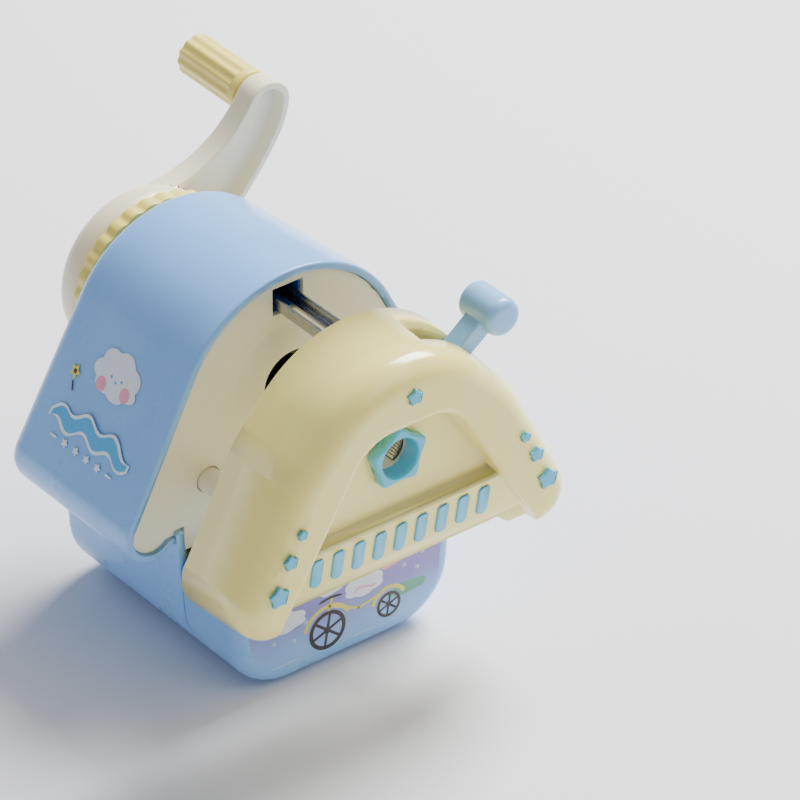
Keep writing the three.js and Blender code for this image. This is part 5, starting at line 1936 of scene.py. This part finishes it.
@dataclass
class Prints:
    """The printed panels: clouds and a ribbon on the hood's left side, a bicycle on the drawer."""

    housing: Housing

    def hood_side(self) -> None:
        """Prints the hood's left side."""
        house = self.housing
        angle = tangent(house.crown, house.cheek.mirrored())
        x, z = house.crown.at(angle)
        up = Vector((math.sin(angle), 0.0, -math.cos(angle)))
        end = house.cheek.mirrored().at(angle)
        drawn = house.pinch * house.crown_share(z) ** 0.7

        def inward(point: Vector) -> float:
            """Returns how far the pinched crown draws the side in at a point."""
            along = (point.y - house.front) / (house.rear - house.rear_round - house.front)
            return drawn * along * (point.z - AXIS - end[1]) / (z - end[1])

        origin = Vector((x, 0.0, z + AXIS))
        face = Print("hood_print", origin, Vector((0, -1, 0)), up, Rides.HOUSING, inward=inward)
        face.lay("cloud", [cloud_outline(1.2, -9.6, 12.6, 10.4, 7)], INK_WHITE, 1)
        face.lay("blush", [round_outline(-2.4, -12.0, 1.5), round_outline(4.9, -11.2, 1.5)], INK_PINK, 2)
        drops = [round_outline(x, z, 0.35) for x, z in ((-0.4, -9.6), (1.2, -10.2), (2.8, -9.4))]
        face.lay("rain", drops, INK_TURQUOISE, 2)
        face.lay("flower", [petals(-10.4, -13.2, 1.5, 5)], INK_YELLOW, 1)
        face.lay("flower_eye", [round_outline(-10.4, -13.2, 0.5)], INK_BROWN, 2)
        face.lay("stem", [bar_outline((-10.0, -15.2), (-9.2, -16.8), 0.16)], INK_BROWN, 1)
        face.lay("ribbon_edge", [wave_outline(-12.6, 13.4, -21.6, 0.9, 2.2, 3.0, 1.2)], INK_WHITE, 1)
        face.lay("ribbon", [wave_outline(-12.0, 12.8, -21.6, 0.9, 1.5, 3.0, 1.2)], INK_TURQUOISE, 2)
        dots = [petals(x, -26.4, 0.95, 5) for x in (-5.4, -1.8, 1.8, 5.4)]
        dashes = [bar_outline((x, -26.4), (x + 1.6, -26.4), 0.2) for x in (-9.8, 8.2)]
        face.lay("row", dots + dashes, INK_WHITE, 1)

    def wheel(self, face: Print, name: str, x: float, z: float, radius: float) -> None:
        """Prints a spoked wheel with a mudguard over it."""
        line = 0.075 * radius + 0.1
        tyre = round_outline(x, z, radius)
        face.lay(f"{name}_tyre", [tyre], INK_BROWN, 4, [round_outline(x, z, radius - 2 * line)])
        spokes = []
        for i in range(6):
            angle = math.radians(20 + 60 * i)
            start = (x + line * 2.2 * math.cos(angle), z + line * 2.2 * math.sin(angle))
            tip = radius - 1.6 * line
            end = (x + tip * math.cos(angle), z + tip * math.sin(angle))
            spokes.append(bar_outline(start, end, line * 0.7))
        face.lay(f"{name}_spokes", spokes, INK_BROWN, 3)
        face.lay(f"{name}_hub", [round_outline(x, z, line * 2)], INK_BROWN, 4)
        over = Circle(x, z, radius + 0.7)
        low, high = math.radians(25), math.radians(165)
        guard = arc(over, low, high, 0.9) + arc(over, high, low, 0.0)
        face.lay(f"{name}_guard", [guard], INK_YELLOW, 3)

    def drawer_face(self) -> None:
        """Prints the drawer front: a bicycle with a basket of clouds in a lavender evening."""
        low_y = span_y("drawer_front")[0]
        top = AXIS - Drawer(self.housing).top_drop
        origin, across, up = Vector((0.0, low_y, 0.0)), Vector((1, 0, 0)), Vector((0, 0, 1))
        face = Print("drawer_print", origin, across, up, Rides.DRAWER)
        face.lay("panel", [self.housing.base_outline(-3.3, top, 5.0)], LAVENDER_FADE, 1)
        face.lay("hill", [cloud_outline(15.2, 9.6, 8.4, 3.0, 5)], INK_GREEN, 2)
        puffs = [(-14.5, 13.6, 9.0, 5.0, 6), (4.6, 14.6, 8.6, 5.6, 6), (-3.6, 17.4, 6.0, 3.6, 5)]
        face.lay("clouds", [cloud_outline(*puff) for puff in puffs], INK_WHITE, 2)
        face.lay("sunset", [cloud_outline(10.6, 17.6, 4.6, 3.6, 5)], INK_PINK, 2)
        face.lay("bow", [wave_outline(2.0, 7.6, 14.4, 0.35, 0.22, 1.0, 0.5)], INK_PINK, 3)
        self.wheel(face, "front_wheel", -4.4, 8.0, 4.4)
        self.wheel(face, "rear_wheel", 10.6, 7.6, 2.9)
        frame_tubes = [
            bar_outline((-3.9, 13.4), (3.2, 10.0), 0.28),
            bar_outline((3.2, 10.0), (9.6, 11.2), 0.28),
            bar_outline((-4.1, 12.4), (-3.3, 15.2), 0.26),
        ]
        face.lay("frame", frame_tubes, INK_YELLOW, 4)
        face.lay("handlebar", [wave_outline(-6.4, -0.8, 15.6, -0.3, 0.24, 0.5, 0.7)], INK_BROWN, 5)
        lights = [(-12.6, 8.8), (-9.6, 12.0), (-17.4, 10.2), (17.6, 13.6), (14.4, 15.4), (19.0, 16.8)]
        half = 0.5
        corners = [(-half, -half), (half, -half), (half, half), (-half, half)]
        squares = [eased([(x + a, z + b) for a, b in corners], 0.15, 2) for x, z in lights]
        face.lay("windows", squares, INK_SKY, 2)
        road = [bar_outline((-18.0, 4.3), (-11.0, 4.3), 0.16), bar_outline((2.0, 3.8), (7.0, 3.8), 0.16)]
        face.lay("road", road, INK_SKY, 2)

    def build(self) -> None:
        """Prints both faces."""
        self.hood_side()
        self.drawer_face()


# ---------------------------------------------------------------- stage


@dataclass
class Studio:
    """Pale floor, soft lights and the camera."""

    azimuth: float = -37.9
    elevation: float = 33.9
    distance: float = 1400.0
    lens: float = 333.9
    aim: tuple[float, float, float] = (3.63, -49.27, 64.92)

    def floor(self) -> None:
        """Lays the floor under the feet."""
        sheet = bmesh.new()
        bmesh.ops.create_grid(sheet, x_segments=4, y_segments=4, size=3.0)
        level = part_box("foot_1")[0].z
        bmesh.ops.translate(sheet, verts=sheet.verts, vec=(0, 0, level))
        mesh = bpy.data.meshes.new("floor")
        sheet.to_mesh(mesh)
        sheet.free()
        mesh.materials.append(PaperSweep("paper_sweep", "#F1F1F5").material())
        made = bpy.data.objects.new("floor", mesh)
        bpy.context.scene.collection.objects.link(made)

    def light(
        self, name: str, azimuth: float, elevation: float, reach: float, size: float, power: float
    ) -> None:
        """Hangs one square soft box that looks at the object.

        Args:
            name: Its name.
            azimuth: Degrees round the object; 0 is in front and 90 is to the left.
            elevation: Degrees above the floor.
            reach: Distance in metres.
            size: Side in metres.
            power: Watts.
        """
        data = bpy.data.lights.new(name, "AREA")
        data.size = size
        data.energy = power
        made = bpy.data.objects.new(name, data)
        bpy.context.scene.collection.objects.link(made)
        away = direction(azimuth, elevation)
        made.location = away * reach
        made.rotation_mode = "QUATERNION"
        made.rotation_quaternion = away.to_track_quat("Z", "Y")

    def camera(self) -> None:
        """Sets the camera."""
        data = bpy.data.cameras.new("camera")
        data.sensor_width = 36.0
        data.lens = self.lens
        data.clip_start, data.clip_end = 0.05, 20.0
        made = bpy.data.objects.new("camera", data)
        bpy.context.scene.collection.objects.link(made)
        away = direction(self.azimuth, self.elevation)
        made.location = (Vector(self.aim) + away * self.distance) * MM
        made.rotation_mode = "QUATERNION"
        made.rotation_quaternion = away.to_track_quat("Z", "Y")
        bpy.context.scene.camera = made

    def build(self) -> None:
        """Sets up the floor, the lights and the camera."""
        self.camera()
        self.floor()
        self.light("key", 108.0, 50.0, 1.1, 0.5, 32.0)
        self.light("fill", 20.0, 50.0, 1.5, 0.9, 4.5)
        world = bpy.data.worlds.new("studio")
        world.use_nodes = True
        backdrop = world.node_tree.nodes["Background"]
        backdrop.inputs["Color"].default_value = linear("#E9EBF0")
        backdrop.inputs["Strength"].default_value = 0.45
        bpy.context.scene.world = world


def direction(azimuth: float, elevation: float) -> Vector:
    """Returns the unit vector from the object towards an azimuth and elevation in degrees."""
    a, e = math.radians(azimuth), math.radians(elevation)
    return Vector((math.sin(a) * math.cos(e), -math.cos(a) * math.cos(e), math.sin(e)))


def main() -> None:
    """Builds every sub-assembly in order, then the studio."""
    logging.basicConfig(level=logging.INFO, format="%(name)s: %(message)s")
    CarriedNodes().dress()
    housing = Housing()
    housing.build()
    Carriage().build()
    Clamp().build()
    Crank().build()
    Drawer(housing).build()
    Prints(housing).build()
    Studio().build()


if __name__ == "__main__":
    main()
